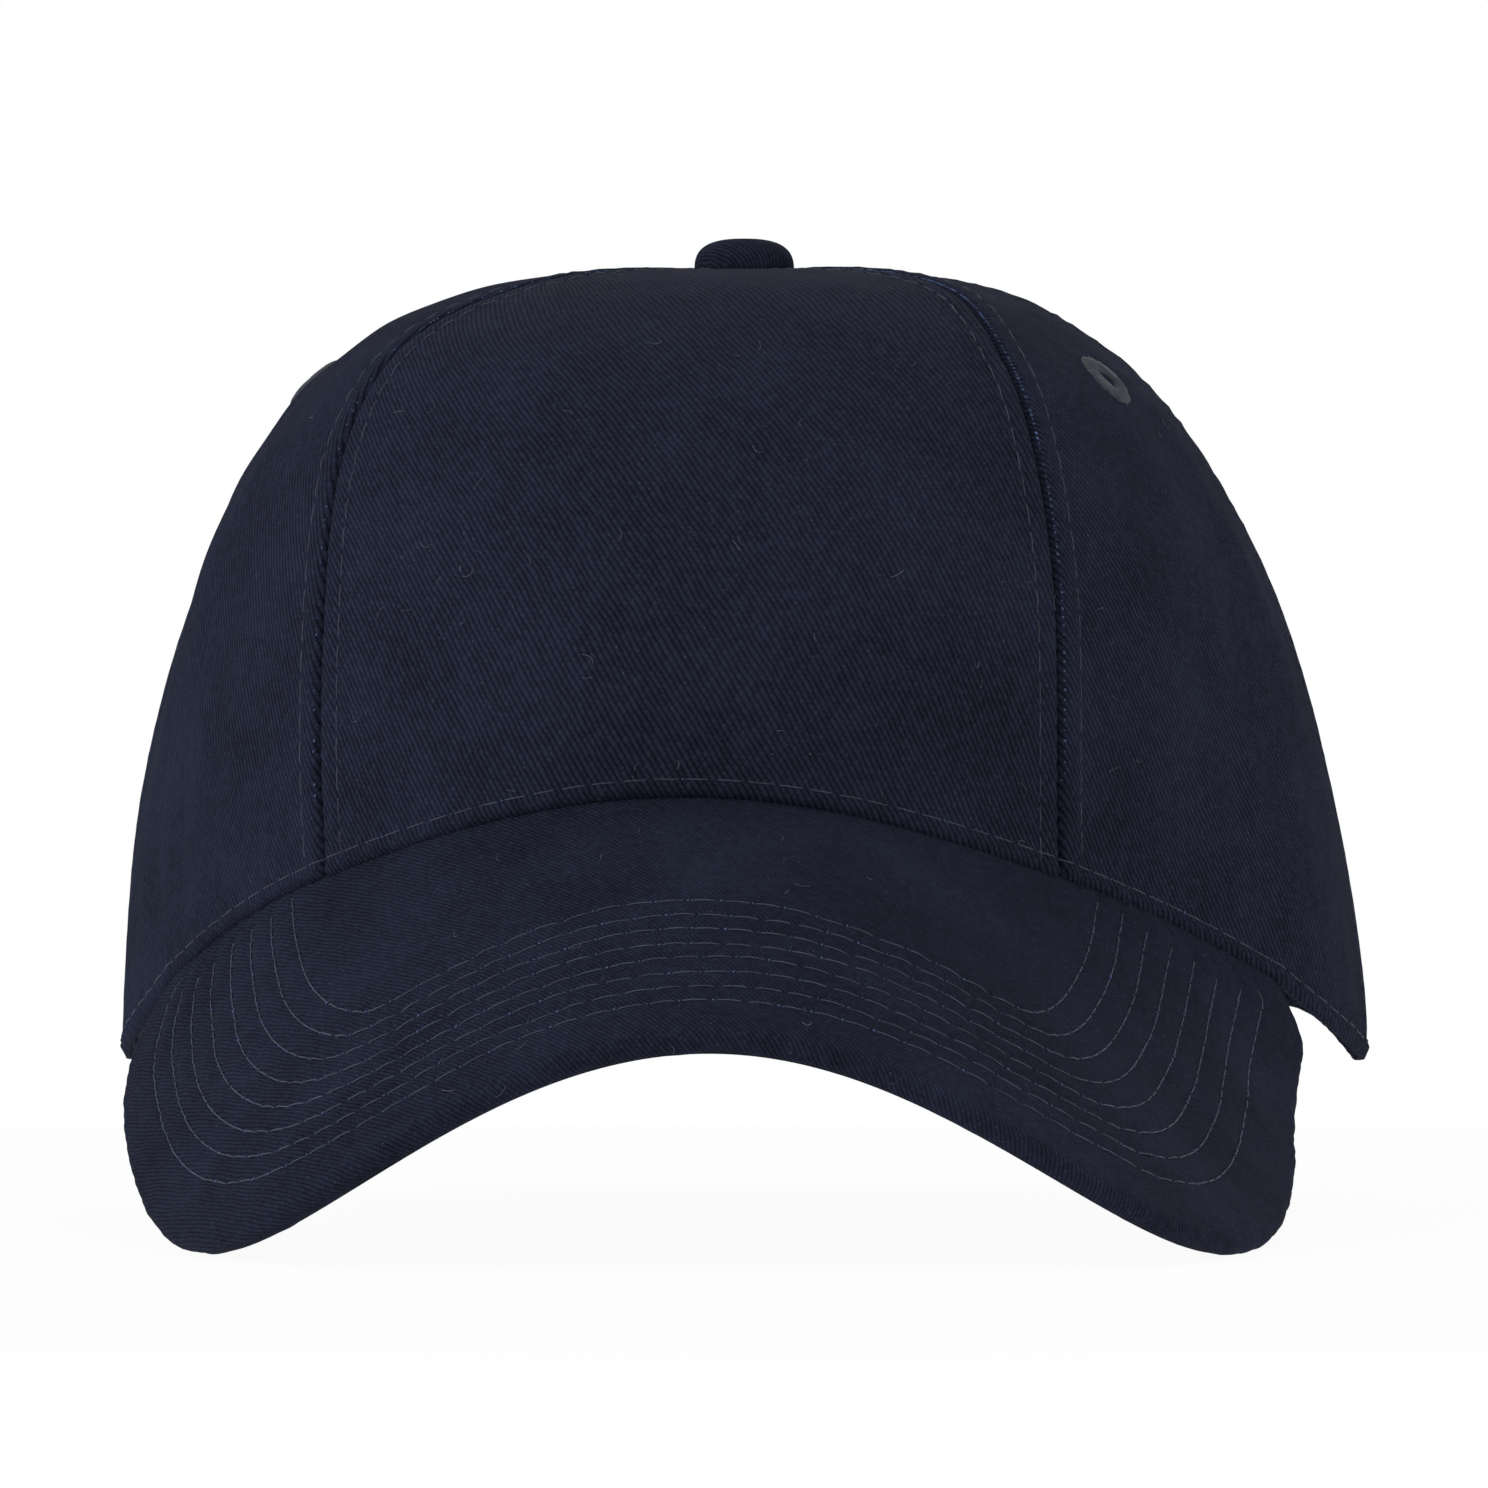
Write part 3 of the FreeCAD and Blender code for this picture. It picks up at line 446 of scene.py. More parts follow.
def drape(tree, points, normals, reach=6.0):
    """Points dropped along their normals onto a surface; a point that misses it stays."""
    places = []
    for point, normal in zip(points, normals):
        start = Vector((point + normal * reach) * MM)
        hit, _, _, _ = tree.ray_cast(start, Vector(-normal), 2 * reach * MM)
        places.append(point if hit is None else np.array(hit) / MM)
    return np.array(places)


# ---------------------------------------------------------------- stitches


def stitch_run(points, normals, phase, source, pitch=STITCH_PITCH, length=STITCH_LENGTH, lift=0.05):
    """Vertices, faces and needle holes of a run of stitches whose ends dive into the cloth."""
    rings = 9
    sides = 6
    run = spans(points)
    normals = unit(normals)
    vertices = []
    faces = []
    knots = []
    place = phase
    while place + length < run[-1]:
        wobble = source.uniform(-0.12, 0.12, 3)
        shares = np.linspace(0, 1, rings)
        spots = place + wobble[0] + shares * (length + wobble[1])
        middle = np.stack([np.interp(spots, run, points[:, i]) for i in range(3)], axis=1)
        facing = unit(np.stack([np.interp(spots, run, normals[:, i]) for i in range(3)], axis=1))
        ahead = unit(np.gradient(middle, axis=0))
        side = unit(np.cross(ahead, facing))
        arch = np.sin(math.pi * shares) ** 0.28
        width = THREAD * (0.6 + 0.4 * arch)
        middle = middle + facing * (lift - 0.34 + 0.34 * arch)[:, None]
        middle = middle + side * (wobble[2] * 0.5 * (shares - 0.5))[:, None]
        start = len(vertices)
        for ring in range(rings):
            for k in range(sides):
                turn = 2 * math.pi * k / sides
                spoke = math.cos(turn) * side[ring] + math.sin(turn) * facing[ring]
                vertices.append(middle[ring] + width[ring] * spoke)
        for ring in range(rings - 1):
            for k in range(sides):
                a = start + ring * sides + k
                b = start + ring * sides + (k + 1) % sides
                faces.append((a, a + sides, b + sides, b))
        faces.append(tuple(start + k for k in range(sides)))
        faces.append(tuple(start + (rings - 1) * sides + k for k in reversed(range(sides))))
        knots.append((middle[0] + facing[0] * 0.28, facing[0], ahead[0]))
        place += pitch
    return vertices, faces, knots


def sew(name, runs, body, **options):
    """One object holding several runs of stitches."""
    source = np.random.default_rng(SEED + len(name) * 7 + sum(map(ord, name)))
    vertices = []
    faces = []
    knots = []
    for points, normals in runs:
        if len(points) < 3 or spans(points)[-1] < 8:
            continue
        phase = source.uniform(0, 3.5)
        some, quads, ends = stitch_run(points, normals, phase, source, **options)
        faces.extend(tuple(i + len(vertices) for i in quad) for quad in quads)
        vertices.extend(some)
        knots.extend(ends)
    item = make_mesh(name, np.array(vertices), faces)
    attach(item, body)
    return item, knots


# ---------------------------------------------------------------- materials


class Nodes:
    """A short way to write a node tree."""

    def __init__(self, name):
        self.material = bpy.data.materials.new(name)
        self.material.use_nodes = True
        self.tree = self.material.node_tree
        self.tree.nodes.clear()

    def add(self, kind, **settings):
        node = self.tree.nodes.new(kind)
        for key, value in settings.items():
            setattr(node, key, value)
        return node

    def join(self, source, target):
        self.tree.links.new(source, target)

    def feed(self, socket, value):
        if isinstance(value, bpy.types.NodeSocket):
            self.join(value, socket)
        else:
            socket.default_value = value

    def math(self, operation, first, second=None, third=None):
        node = self.add("ShaderNodeMath", operation=operation)
        for socket, value in zip(node.inputs, (first, second, third)):
            if value is not None:
                self.feed(socket, value)
        return node.outputs[0]

    def plus(self, base, part, weight):
        """base + part * weight."""
        return self.math("ADD", base, self.math("MULTIPLY", part, weight))

    def noise(self, vector, scale, detail=2.0, rough=0.5):
        node = self.add("ShaderNodeTexNoise")
        self.join(vector, node.inputs["Vector"])
        node.inputs["Scale"].default_value = scale
        node.inputs["Detail"].default_value = detail
        node.inputs["Roughness"].default_value = rough
        return node.outputs["Fac"]

    def mix(self, share, first, second):
        node = self.add("ShaderNodeMix", data_type="RGBA")
        self.feed(node.inputs["Factor"], share)
        self.feed(node.inputs["A"], first)
        self.feed(node.inputs["B"], second)
        return node.outputs["Result"]

    def ramp(self, value, low, high):
        """Value stretched so that low becomes 0 and high becomes 1."""
        node = self.add("ShaderNodeMapRange", clamp=True)
        self.feed(node.inputs["Value"], value)
        node.inputs["From Min"].default_value = low
        node.inputs["From Max"].default_value = high
        return node.outputs["Result"]

    def finish(self, color, height, depth, rough, metal=0.0, specular=0.25, sheen=0.0,
               sheen_tint=(1, 1, 1, 1)):
        """The finished material; the relief's height gives the bump, depth millimetres high."""
        shader = self.add("ShaderNodeBsdfPrincipled")
        self.feed(shader.inputs["Base Color"], color)
        self.feed(shader.inputs["Roughness"], rough)
        self.feed(shader.inputs["Metallic"], metal)
        shader.inputs["Specular IOR Level"].default_value = specular
        shader.inputs["Sheen Weight"].default_value = sheen
        shader.inputs["Sheen Roughness"].default_value = 0.6
        shader.inputs["Sheen Tint"].default_value = sheen_tint
        relief = self.add("ShaderNodeBump")
        relief.inputs["Strength"].default_value = 1.0
        relief.inputs["Distance"].default_value = depth * MM
        self.join(height, relief.inputs["Height"])
        self.join(relief.outputs["Normal"], shader.inputs["Normal"])
        output = self.add("ShaderNodeOutputMaterial")
        self.join(shader.outputs["BSDF"], output.inputs["Surface"])
        return self.material


def tone(red, green, blue):
    """A linear colour from 0 to 255 display values."""
    parts = [c / 255.0 for c in (red, green, blue)]
    return tuple(((c + 0.055) / 1.055) ** 2.4 if c > 0.04045 else c / 12.92 for c in parts) + (1.0,)


def twill(name, lean=-60.0, pitch=0.82, low=(11, 12, 19), high=(49, 53, 74), depth=0.2, soft=0.0):
    """Cotton twill: diagonal ribs of short floats, uneven yarn, faint dye mottling and lint. Its colour runs
    from low in the rib valleys, a painted shade, to high on the rib crowns, a painted highlight, mixed with
    the yarn's real random tone.

    lean is the ribs' angle on the cloth, in degrees from the cloth's across direction.
    """
    fleck = 0.5
    tilt_cos = math.cos(math.radians(lean))
    tilt_sin = math.sin(math.radians(lean))
    n = Nodes(name)
    place = n.add("ShaderNodeUVMap", uv_map="cloth").outputs["UV"]
    solid = n.add("ShaderNodeTexCoord").outputs["Object"]
    drift = n.noise(place, 0.12, 2.0)
    wander = n.noise(place, 0.9, 1.0)
    parts = n.add("ShaderNodeSeparateXYZ")
    n.join(place, parts.inputs[0])
    across, up = parts.outputs[0], parts.outputs[1]
    run = n.plus(n.math("MULTIPLY", across, tilt_cos), up, tilt_sin)
    cross = n.math("SUBTRACT", n.math("MULTIPLY", up, tilt_cos), n.math("MULTIPLY", across, tilt_sin))
    cross = n.plus(cross, drift, 1.0)
    cross = n.plus(cross, wander, 0.14)
    rib = n.math("DIVIDE", cross, pitch)
    rib_share = n.math("FRACT", rib)
    rib_index = n.math("FLOOR", rib)
    ridge = n.math("SINE", n.math("MULTIPLY", rib_share, math.pi))
    ridge = n.math("POWER", ridge, 0.8)
    float_place = n.math("ADD", n.math("DIVIDE", run, pitch * 1.15), n.math("MULTIPLY", rib_index, 0.37))
    float_share = n.math("FRACT", float_place)
    float_index = n.math("FLOOR", float_place)
    bead = n.math("POWER", n.math("SINE", n.math("MULTIPLY", float_share, math.pi)), 0.5)
    cell = n.add("ShaderNodeCombineXYZ")
    n.join(rib_index, cell.inputs[0])
    n.join(float_index, cell.inputs[1])
    chance = n.add("ShaderNodeTexWhiteNoise", noise_dimensions="2D")
    n.join(cell.outputs[0], chance.inputs["Vector"])
    chance = chance.outputs["Value"]
    yarn = n.math("MULTIPLY", ridge, n.math("ADD", n.math("MULTIPLY", bead, 0.4), 0.6))
    fuzz = n.noise(place, 5.5, 3.0, 0.65)
    relief = n.plus(n.math("MULTIPLY", yarn, 1.0 - soft), fuzz, 0.55)
    relief = n.plus(relief, chance, 0.25)
    mottle = n.noise(solid, 55.0, 3.0)
    # painted light: the rib profile (yarn) makes the crowns lighter, a painted highlight, and the valleys
    # darker, a painted shade; chance, fuzz and mottle add real random tone
    light = n.plus(n.math("MULTIPLY", yarn, 0.55 * (1.0 - soft)), chance, 0.22)
    light = n.plus(light, n.math("SUBTRACT", fuzz, 0.5), 0.7)
    light = n.plus(light, n.math("SUBTRACT", mottle, 0.5), 0.5)
    light = n.ramp(light, 0.0, 1.0)
    # low carries the painted shade of the valleys and high the painted highlight of the crowns
    color = n.mix(light, tone(*low), tone(*high))
    lint = n.ramp(n.noise(place, 2.3, 0.0), 0.79, 0.83)
    color = n.mix(n.math("MULTIPLY", lint, fleck), color, tone(86, 92, 112))
    return n.finish(color, relief, depth=depth, rough=0.95, specular=0.06, sheen=0.02,
                    sheen_tint=tone(120, 135, 190))


def plain_weave(name, low, high, pitch=0.45, depth=0.12, rough=0.9):
    """Plain woven tape or webbing: a small checker of yarns, its colour lighter on the raised yarns, a
    painted highlight, and darker in the hollows, a painted shade, with slow random tone.
    """
    n = Nodes(name)
    place = n.add("ShaderNodeUVMap", uv_map="cloth").outputs["UV"]
    parts = n.add("ShaderNodeSeparateXYZ")
    n.join(place, parts.inputs[0])
    turn = math.pi / pitch
    warp = n.math("SINE", n.math("MULTIPLY", parts.outputs[0], turn))
    weft = n.math("SINE", n.math("MULTIPLY", parts.outputs[1], turn))
    check = n.math("MULTIPLY", warp, weft)
    ribs = n.math("ADD", n.math("ABSOLUTE", warp), n.math("ABSOLUTE", weft))
    fuzz = n.noise(place, 4.0, 3.0, 0.6)
    relief = n.plus(n.math("MULTIPLY", check, 0.35), ribs, 0.35)
    relief = n.plus(relief, fuzz, 0.4)
    # painted light: colour follows the relief, raised yarns lighter as painted highlight and hollows darker
    # as painted shade, plus slow random tone
    light = n.ramp(n.plus(relief, n.noise(place, 0.1, 2.0), 0.3), 0.1, 1.1)
    color = n.mix(light, tone(*low), tone(*high))
    return n.finish(color, relief, depth=depth, rough=rough, specular=0.2, sheen=0.05)


def thread(name, low, high):
    """Spun thread: fine slanting plies and a slight gloss."""
    twist = 2.4
    n = Nodes(name)
    solid = n.add("ShaderNodeTexCoord").outputs["Object"]
    plies = n.add("ShaderNodeTexWave", wave_type="BANDS", bands_direction="DIAGONAL")
    n.join(solid, plies.inputs["Vector"])
    plies.inputs["Scale"].default_value = 1000.0 / twist
    plies.inputs["Distortion"].default_value = 1.5
    mottle = n.noise(solid, 260.0, 2.0)
    color = n.mix(n.ramp(mottle, 0.3, 0.72), tone(*low), tone(*high))
    return n.finish(color, plies.outputs["Fac"], depth=0.05, rough=0.6, specular=0.4, sheen=0.1)


def mesh_cloth(name):
    """Buckram: stiff open mesh cloth, glue-sized threads with dark gaps."""
    n = Nodes(name)
    place = n.add("ShaderNodeUVMap", uv_map="cloth").outputs["UV"]
    parts = n.add("ShaderNodeSeparateXYZ")
    n.join(place, parts.inputs[0])
    turn = math.pi / 1.1
    warp = n.math("ABSOLUTE", n.math("SINE", n.math("MULTIPLY", parts.outputs[0], turn)))
    weft = n.math("ABSOLUTE", n.math("SINE", n.math("MULTIPLY", parts.outputs[1], turn)))
    gap = n.math("MINIMUM", warp, weft)
    threads = n.ramp(gap, 0.75, 0.45)
    fuzz = n.noise(place, 3.0, 2.0)
    color = n.mix(threads, tone(60, 62, 70), tone(150, 150, 148))
    relief = n.plus(threads, fuzz, 0.4)
    return n.finish(color, relief, depth=0.2, rough=0.85)


def brushed_metal(name, color=(150, 148, 144)):
    """Nickel plate with fine scratches along one direction and small dull spots."""
    n = Nodes(name)
    solid = n.add("ShaderNodeTexCoord").outputs["Object"]
    stretch = n.add("ShaderNodeMapping")
    n.join(solid, stretch.inputs["Vector"])
    stretch.inputs["Scale"].default_value = (300.0, 300.0, 6000.0)
    scratches = n.noise(stretch.outputs[0], 1.0, 3.0, 0.7)
    spots = n.noise(solid, 420.0, 2.0)
    shade = n.mix(n.ramp(spots, 0.35, 0.7), tone(*color), tone(*[int(c * 0.82) for c in color]))
    rough = n.math("ADD", n.math("MULTIPLY", scratches, 0.22), 0.22)
    return n.finish(shade, scratches, depth=0.01, rough=rough, metal=1.0, specular=0.5)


def board_plastic(name):
    """White polyethylene sheet with a faint grain."""
    n = Nodes(name)
    solid = n.add("ShaderNodeTexCoord").outputs["Object"]
    grain = n.noise(solid, 900.0, 2.0)
    color = n.mix(n.noise(solid, 60.0, 2.0), tone(208, 208, 202), tone(226, 226, 222))
    return n.finish(color, grain, depth=0.03, rough=0.5)


TWILL_FRONT = twill("twill_front")
TWILL_LEFT = twill("twill_left_side")
TWILL_RIGHT = twill("twill_right_side")
TWILL_REAR = twill("twill_rear")
TWILL_VISOR = twill("twill_visor", -57.0, pitch=0.62, depth=0.12, soft=0.2)
TWILL_UNDER = twill("twill_under", -57.0, depth=0.12, soft=0.2, low=(9, 10, 15), high=(36, 39, 54))
TWILL_BUTTON = twill("twill_button", -50.0, pitch=0.8)
TWILL_STRAP = twill("twill_strap")
TAPE = plain_weave("tape_weave", (24, 27, 40), (46, 50, 70))
BAND = plain_weave("sweatband_weave", (20, 22, 32), (40, 44, 60), pitch=0.36)
LABEL = plain_weave("label_weave", (26, 27, 30), (52, 54, 58), pitch=0.22, depth=0.05, rough=0.5)
BUCKRAM = mesh_cloth("buckram_mesh")
THREAD_NAVY = thread("thread_navy", (26, 31, 46), (56, 63, 84))
THREAD_VISOR = thread("thread_visor", (34, 41, 58), (64, 73, 96))
# real lint tufts whose bright blue is partly a painted highlight of light catching the fuzz at needle holes
# and folded seams
LINT_BLUE_AND_HIGHLIGHT = thread("needle_hole_lint_and_highlight", (30, 42, 74), (62, 88, 138))
LINT = thread("loose_lint", (60, 66, 82), (120, 124, 136))
EMBROIDERY = thread("eyelet_embroidery", (30, 35, 43), (52, 59, 68))
METAL = brushed_metal("clasp_nickel")
BUTTON_METAL = brushed_metal("button_tin", (172, 172, 170))
BOARD = board_plastic("visor_board_sheet")


def paint(item, material):
    """Gives a piece its material, in a single slot."""
    item.data.materials.clear()
    item.data.materials.append(material)


def fit(item, node, material, body="crown"):
    """Puts a piece on its body in place of a CAD node, with its material and slot."""
    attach(item, body)
    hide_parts(node)
    paint(item, material)


# ---------------------------------------------------------------- crown panels


def climb_grid(azimuth_line, foot, top_radius, columns, rows):
    """Azimuth and height of a grid whose columns climb from a foot height to a plan radius, evenly spaced.

    azimuth_line(share across, height, share climbed) gives a column's azimuth.
    """
    across = np.linspace(0, 1, columns)[:, None]
    samples = np.linspace(0, 1, 320)[None, :]

    def height_of(climb):
        return HEIGHT * (1.0 - (1.0 - climb) ** 4)

    start = 1.0 - (1.0 - foot[:, None] / HEIGHT) ** 0.25

    def short_of(climb):
        height = height_of(climb)
        return top_radius - crown_radius(azimuth_line(across, height, np.ones_like(climb)), height)

    end = halve(short_of, start, np.full_like(start, 1.0 - 1e-6), 50)
    climb = start + (end - start) * samples
    height = height_of(climb)
    azimuth = azimuth_line(across, height, np.broadcast_to(samples, climb.shape))
    points = outer(azimuth, height)
    run = run_of(points)
    out_azimuth = np.zeros((columns, rows))
    out_height = np.zeros((columns, rows))
    for i in range(columns):
        spots = np.linspace(0, run[i, -1], rows)
        out_azimuth[i] = np.interp(spots, run[i], azimuth[i])
        out_height[i] = np.interp(spots, run[i], height[i])
    return out_azimuth, out_height


def roll(distance, radius=0.95, drop=0.72):
    """A cloth edge rolling down into its seam: -drop at the edge, 0 beyond the radius."""
    share = np.clip(1.0 - distance / radius, 0.0, 1.0)
    return -drop * (1.0 - np.sqrt(1.0 - share**2 + 1e-9))


def sewn_edge(distance, run, stitch, bulk, pitch, seed, pucker=0.11, ribs=0.0):
    """Relief beside an edge sewn down at a distance: a padded fold, a sunk stitch line and its puckers."""
    fold = bulk * smooth(distance, 0.2, 1.1) * (1.0 - smooth(distance, stitch - 0.5, stitch + 0.9))
    pull = -0.20 * bump(distance, stitch, 0.55)
    noise = np.random.default_rng(SEED + seed).uniform(0.35, 1.0, 400)
    strength = noise[np.clip((run / pitch).astype(int), 0, 399)]
    beat = run / pitch + 0.24 * np.sin(0.37 * run + seed) + 0.13 * np.sin(0.83 * run + 2 * seed)
    reach = bump(distance, stitch, 2.1 + 3.0 * np.max(pucker))
    puckers = pucker * strength * np.cos(2 * math.pi * beat) * reach
    gathers = ribs * np.cos(2 * math.pi * run / 1.7) * bump(distance, 1.3, 0.9)
    return roll(distance) + fold + pull + puckers + gathers


def wrinkles(points, azimuth, height):
    """Soft folds of worn cloth: calm on the stiffened front, uprightly creased at the sides."""
    bearing = np.abs(azimuth)
    loose = smooth(bearing, 42, 66)
    low = ripple(points * np.array([1.0, 1.0, 0.45]), 34.0, 3)
    fine = ripple(points * np.array([1.0, 1.0, 0.5]), 13.0, 5)
    crown_top = smooth(height, 84, 104)
    calm = 0.16 * low + 0.05 * fine
    soft = 0.75 * low + 0.22 * fine
    relief = calm + (soft - calm) * loose * (1.0 - 0.55 * crown_top)
    near_button = smooth(np.hypot(points[..., 0], points[..., 1]), 6, 26)
    return relief * near_button


def panel(name, node, azimuth_line, foot, foot_chain, columns, rows, material, bulk=(0.3, 0.3),
          pucker=(0.11, 0.11)):
    """One crown panel as a closed, sewn sheet of cloth."""
    azimuth, height = climb_grid(azimuth_line, foot, TOP_HOLE, columns, rows)
    base = outer(azimuth, height)
    normal = outward(azimuth, height)
    up = run_of(base)
    low_edge = nearest(base, base[0])
    high_edge = nearest(base, base[-1])
    foot_edge = nearest(base, foot_chain)
    foot_run = np.repeat(spans(base[:, 0])[:, None], rows, axis=1)
    tight = smooth(np.hypot(base[..., 0], base[..., 1]), 4, 13)
    gathered = 0.3 + 0.7 * smooth(height, 62, 84)
    relief = sewn_edge(low_edge, up, SEAM_STITCH, bulk[0], STITCH_PITCH, 1, pucker[0] * gathered) * tight
    relief += sewn_edge(high_edge, up, SEAM_STITCH, bulk[1], STITCH_PITCH, 2, pucker[1] * gathered) * tight
    relief += sewn_edge(foot_edge, foot_run, EDGE_STITCH, 0.3, STITCH_PITCH, 3, ribs=0.06)
    away = smooth(np.minimum(low_edge, high_edge), 1.0, 16.0) * smooth(foot_edge, 1.0, 14.0)
    relief += wrinkles(base, azimuth, height) * (0.25 + 0.75 * away)
    face = settle(base + normal * relief[..., None])
    inner_relief = relief * 0.5 - CLOTH
    inner_relief = np.minimum(inner_relief, relief - 0.35)
    back = settle(base + normal * inner_relief[..., None])
    uv = cloth_uv(base)
    uv[..., 1] += base[:, :1, 2]
    item = shell(name, face, back, uv)
    fit(item, node, material)
    return item


def side_line(low, high):
    """Azimuths between two seam lines."""

    def line(across, height, climbed):
        first = low(height)
        last = high(height)
        return first + (last - first) * across

    return line


def narrow(line, sign):
    """A seam line moved by half the seam gap."""

    def moved(height):
        return line(height) + sign * np.degrees(SEAM_HALF_GAP / plan_radius(90.0, height, 2.0))

    return moved


def crown_panels():
    """The five panels."""
    built = []
    columns = 112
    low = narrow(lambda h: -seam_azimuth(h), 1)
    high = narrow(seam_azimuth, -1)
    foot = edge_height(np.linspace(-SEAM_LOW - 0.8, SEAM_LOW + 0.8, columns))
    line = side_line(low, high)
    chain = outer(np.linspace(-37, 37, 200), edge_height(np.linspace(-37, 37, 200)))
    built.append(panel("front_panel_cloth", "front_panel", line, foot, chain, columns, 112, TWILL_FRONT,
                       bulk=(0.22, 0.22)))
    for word, sign, material in (("left", 1, TWILL_LEFT), ("right", -1, TWILL_RIGHT)):
        near = narrow(lambda h: sign * seam_azimuth(h), sign)
        far = narrow(lambda h: sign * SIDE_SEAM + 0.0 * h, -sign)
        lines = (near, far) if sign > 0 else (far, near)
        line = side_line(*lines)
        turn = np.linspace(0, 1, columns)
        feet = np.zeros(columns)
        for _ in range(4):
            feet = edge_height(line(turn, feet, turn))
        reach = np.linspace(SEAM_LOW - 2, SIDE_SEAM + 2, 260) * sign
        chain = outer(reach, edge_height(reach))
        bulk = (0.3, 0.4) if sign < 0 else (0.5, 0.3)
        pucker = (SIDE_PUCKER, 0.14) if sign < 0 else (0.12, SIDE_PUCKER)
        built.append(panel(f"{word}_side_panel_cloth", f"{word}_side_panel", line, feet, chain, columns, 118,
                           material, bulk=bulk, pucker=pucker))
        built.append(rear_panel(word, sign))
    return built


def rear_panel(word, sign):
    """A rear panel, whose foot runs along the lower edge and then up the rear opening."""
    columns = 118
    side, high = arch_line(0.0, 120)
    half = len(side) // 2 + 1
    arch_points = np.stack([rear_azimuth(side[:half], high[:half]), high[:half]], axis=1)
    corner = arch_points[0, 0]
    level_turn = np.linspace(SIDE_SEAM, corner, 80)
    level = np.stack([level_turn, edge_height(level_turn)], axis=1)
    outline = np.concatenate([level[:-1], arch_points])
    outline_points = outer(outline[:, 0], outline[:, 1])
    run = spans(outline_points)
    spots = np.linspace(0, run[-1], columns)
    foot_azimuth = np.interp(spots, run, outline[:, 0])[::sign]
    foot_height = np.interp(spots, run, outline[:, 1])[::sign]

    def line(across, height, climbed):
        from_side = np.broadcast_to(across if sign > 0 else 1.0 - across, climbed.shape)
        start = np.broadcast_to(foot_azimuth[:, None], climbed.shape)
        end = SIDE_SEAM + (180.0 - SIDE_SEAM) * from_side
        turned = start + (end - start) * climbed**0.62
        inset = np.degrees(REAR_SEAM_HALF_GAP / plan_radius(turned, height, 2.0)) * (1.0 - 2.0 * from_side)
        return sign * (turned + inset)

    chain = outer(sign * outline[:, 0], outline[:, 1])
    return panel(f"{word}_rear_panel_cloth", f"{word}_rear_panel", line, foot_height, chain, columns, 118,
                 TWILL_REAR, bulk=(0.3, 0.4)[::sign], pucker=(SIDE_PUCKER, 0.12)[::sign])


PANELS = crown_panels()
CROWN_TREE = tree_of(*PANELS)


# ---------------------------------------------------------------- crown stitching


def crown_run(azimuth, height):
    """A stitch path over the crown's real cloth."""
    points = settle(wall(azimuth, height))
    normals = outward(azimuth, height)
    return drape(CROWN_TREE, points, normals), normals


def beside_seam(line, offset, low, high, count=260):
    """Azimuth and height of a line that runs at an offset beside a seam."""
    height = HEIGHT * (1.0 - (1.0 - np.linspace(low, high, count)) ** 4)
    seam = line(height)
    radius = crown_radius(seam, height)
    return seam + np.degrees(offset / np.maximum(radius, 4.0)), height


def climb_of(height):
    """The climb that reaches a height."""
    return 1.0 - (1.0 - height / HEIGHT) ** 0.25


def crown_stitching():
    """Top-stitching beside every crown seam, above the lower edge and around the rear opening."""
    runs = []
    top = 0.885
    front_foot = climb_of(float(edge_height(np.array([SEAM_LOW]))[0]) + 1.2)
    side_foot = climb_of(1.2)
    rear_foot = climb_of(ARCH_HEIGHT + 1.0)
    for sign in (1, -1):
        for offset in (-SEAM_STITCH, SEAM_STITCH):
            azimuth, height = beside_seam(lambda h: sign * seam_azimuth(h), offset, front_foot, top)
            runs.append(crown_run(azimuth, height))
            azimuth, height = beside_seam(lambda h: sign * SIDE_SEAM + 0.0 * h, offset, side_foot, top)
            runs.append(crown_run(azimuth, height))
            if sign > 0:
                azimuth, height = beside_seam(lambda h: 180.0 + 0.0 * h, offset, rear_foot, top)
                runs.append(crown_run(azimuth, height))
    corner = float(rear_azimuth(np.array([ARCH_HALF_WIDTH + 1.0]), np.array([REAR_RISE + EDGE_STITCH]))[0])
    reach = np.linspace(-corner, corner, 900)
    edge_runs = [crown_run(reach, edge_height(reach) + EDGE_STITCH)]
    side, high = arch_line(EDGE_STITCH)
    edge_runs.append(crown_run(rear_azimuth(side, high), high + 0.2))
    side, high = arch_line(EDGE_STITCH + 4.6)
    edge_runs.append(crown_run(rear_azimuth(side, high), high + 0.2))
    item, _ = sew("crown_seam_stitches", runs, "crown")
    paint(item, THREAD_NAVY)
    item, knots = sew("crown_edge_stitches", edge_runs, "crown")
    paint(item, THREAD_NAVY)
    return knots


def tufts(name, knots, material, share, size, seed):
    """Tiny lint tufts pulled up at some of the needle holes."""
    source = np.random.default_rng(SEED + seed)
    vertices = []
    faces = []
    ring = [(math.cos(a), math.sin(a)) for a in np.linspace(0, 2 * math.pi, 7)[:-1]]
    for middle, facing, ahead in knots:
        if source.uniform() > share:
            continue
        grow = size * source.uniform(0.55, 1.25)
        side = np.cross(facing, ahead)
        start = len(vertices)
        vertices.append(middle + facing * grow * 0.55)
        for level, width in ((0.35, 0.75), (0.0, 1.0)):
            for x, y in ring:
                stretch = source.uniform(0.7, 1.3)
                spoke = ahead * x * 0.75 + side * y
                vertices.append(middle + facing * grow * level + spoke * grow * width * stretch)
        vertices.append(middle - facing * grow * 0.5)
        for k in range(6):
            j = (k + 1) % 6
            faces.append((start, start + 1 + k, start + 1 + j))
            faces.append((start + 1 + k, start + 7 + k, start + 7 + j, start + 1 + j))
            faces.append((start + 7 + k, start + 13, start + 7 + j))
    item = make_mesh(name, np.array(vertices), faces)
    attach(item, "crown")
    paint(item, material)


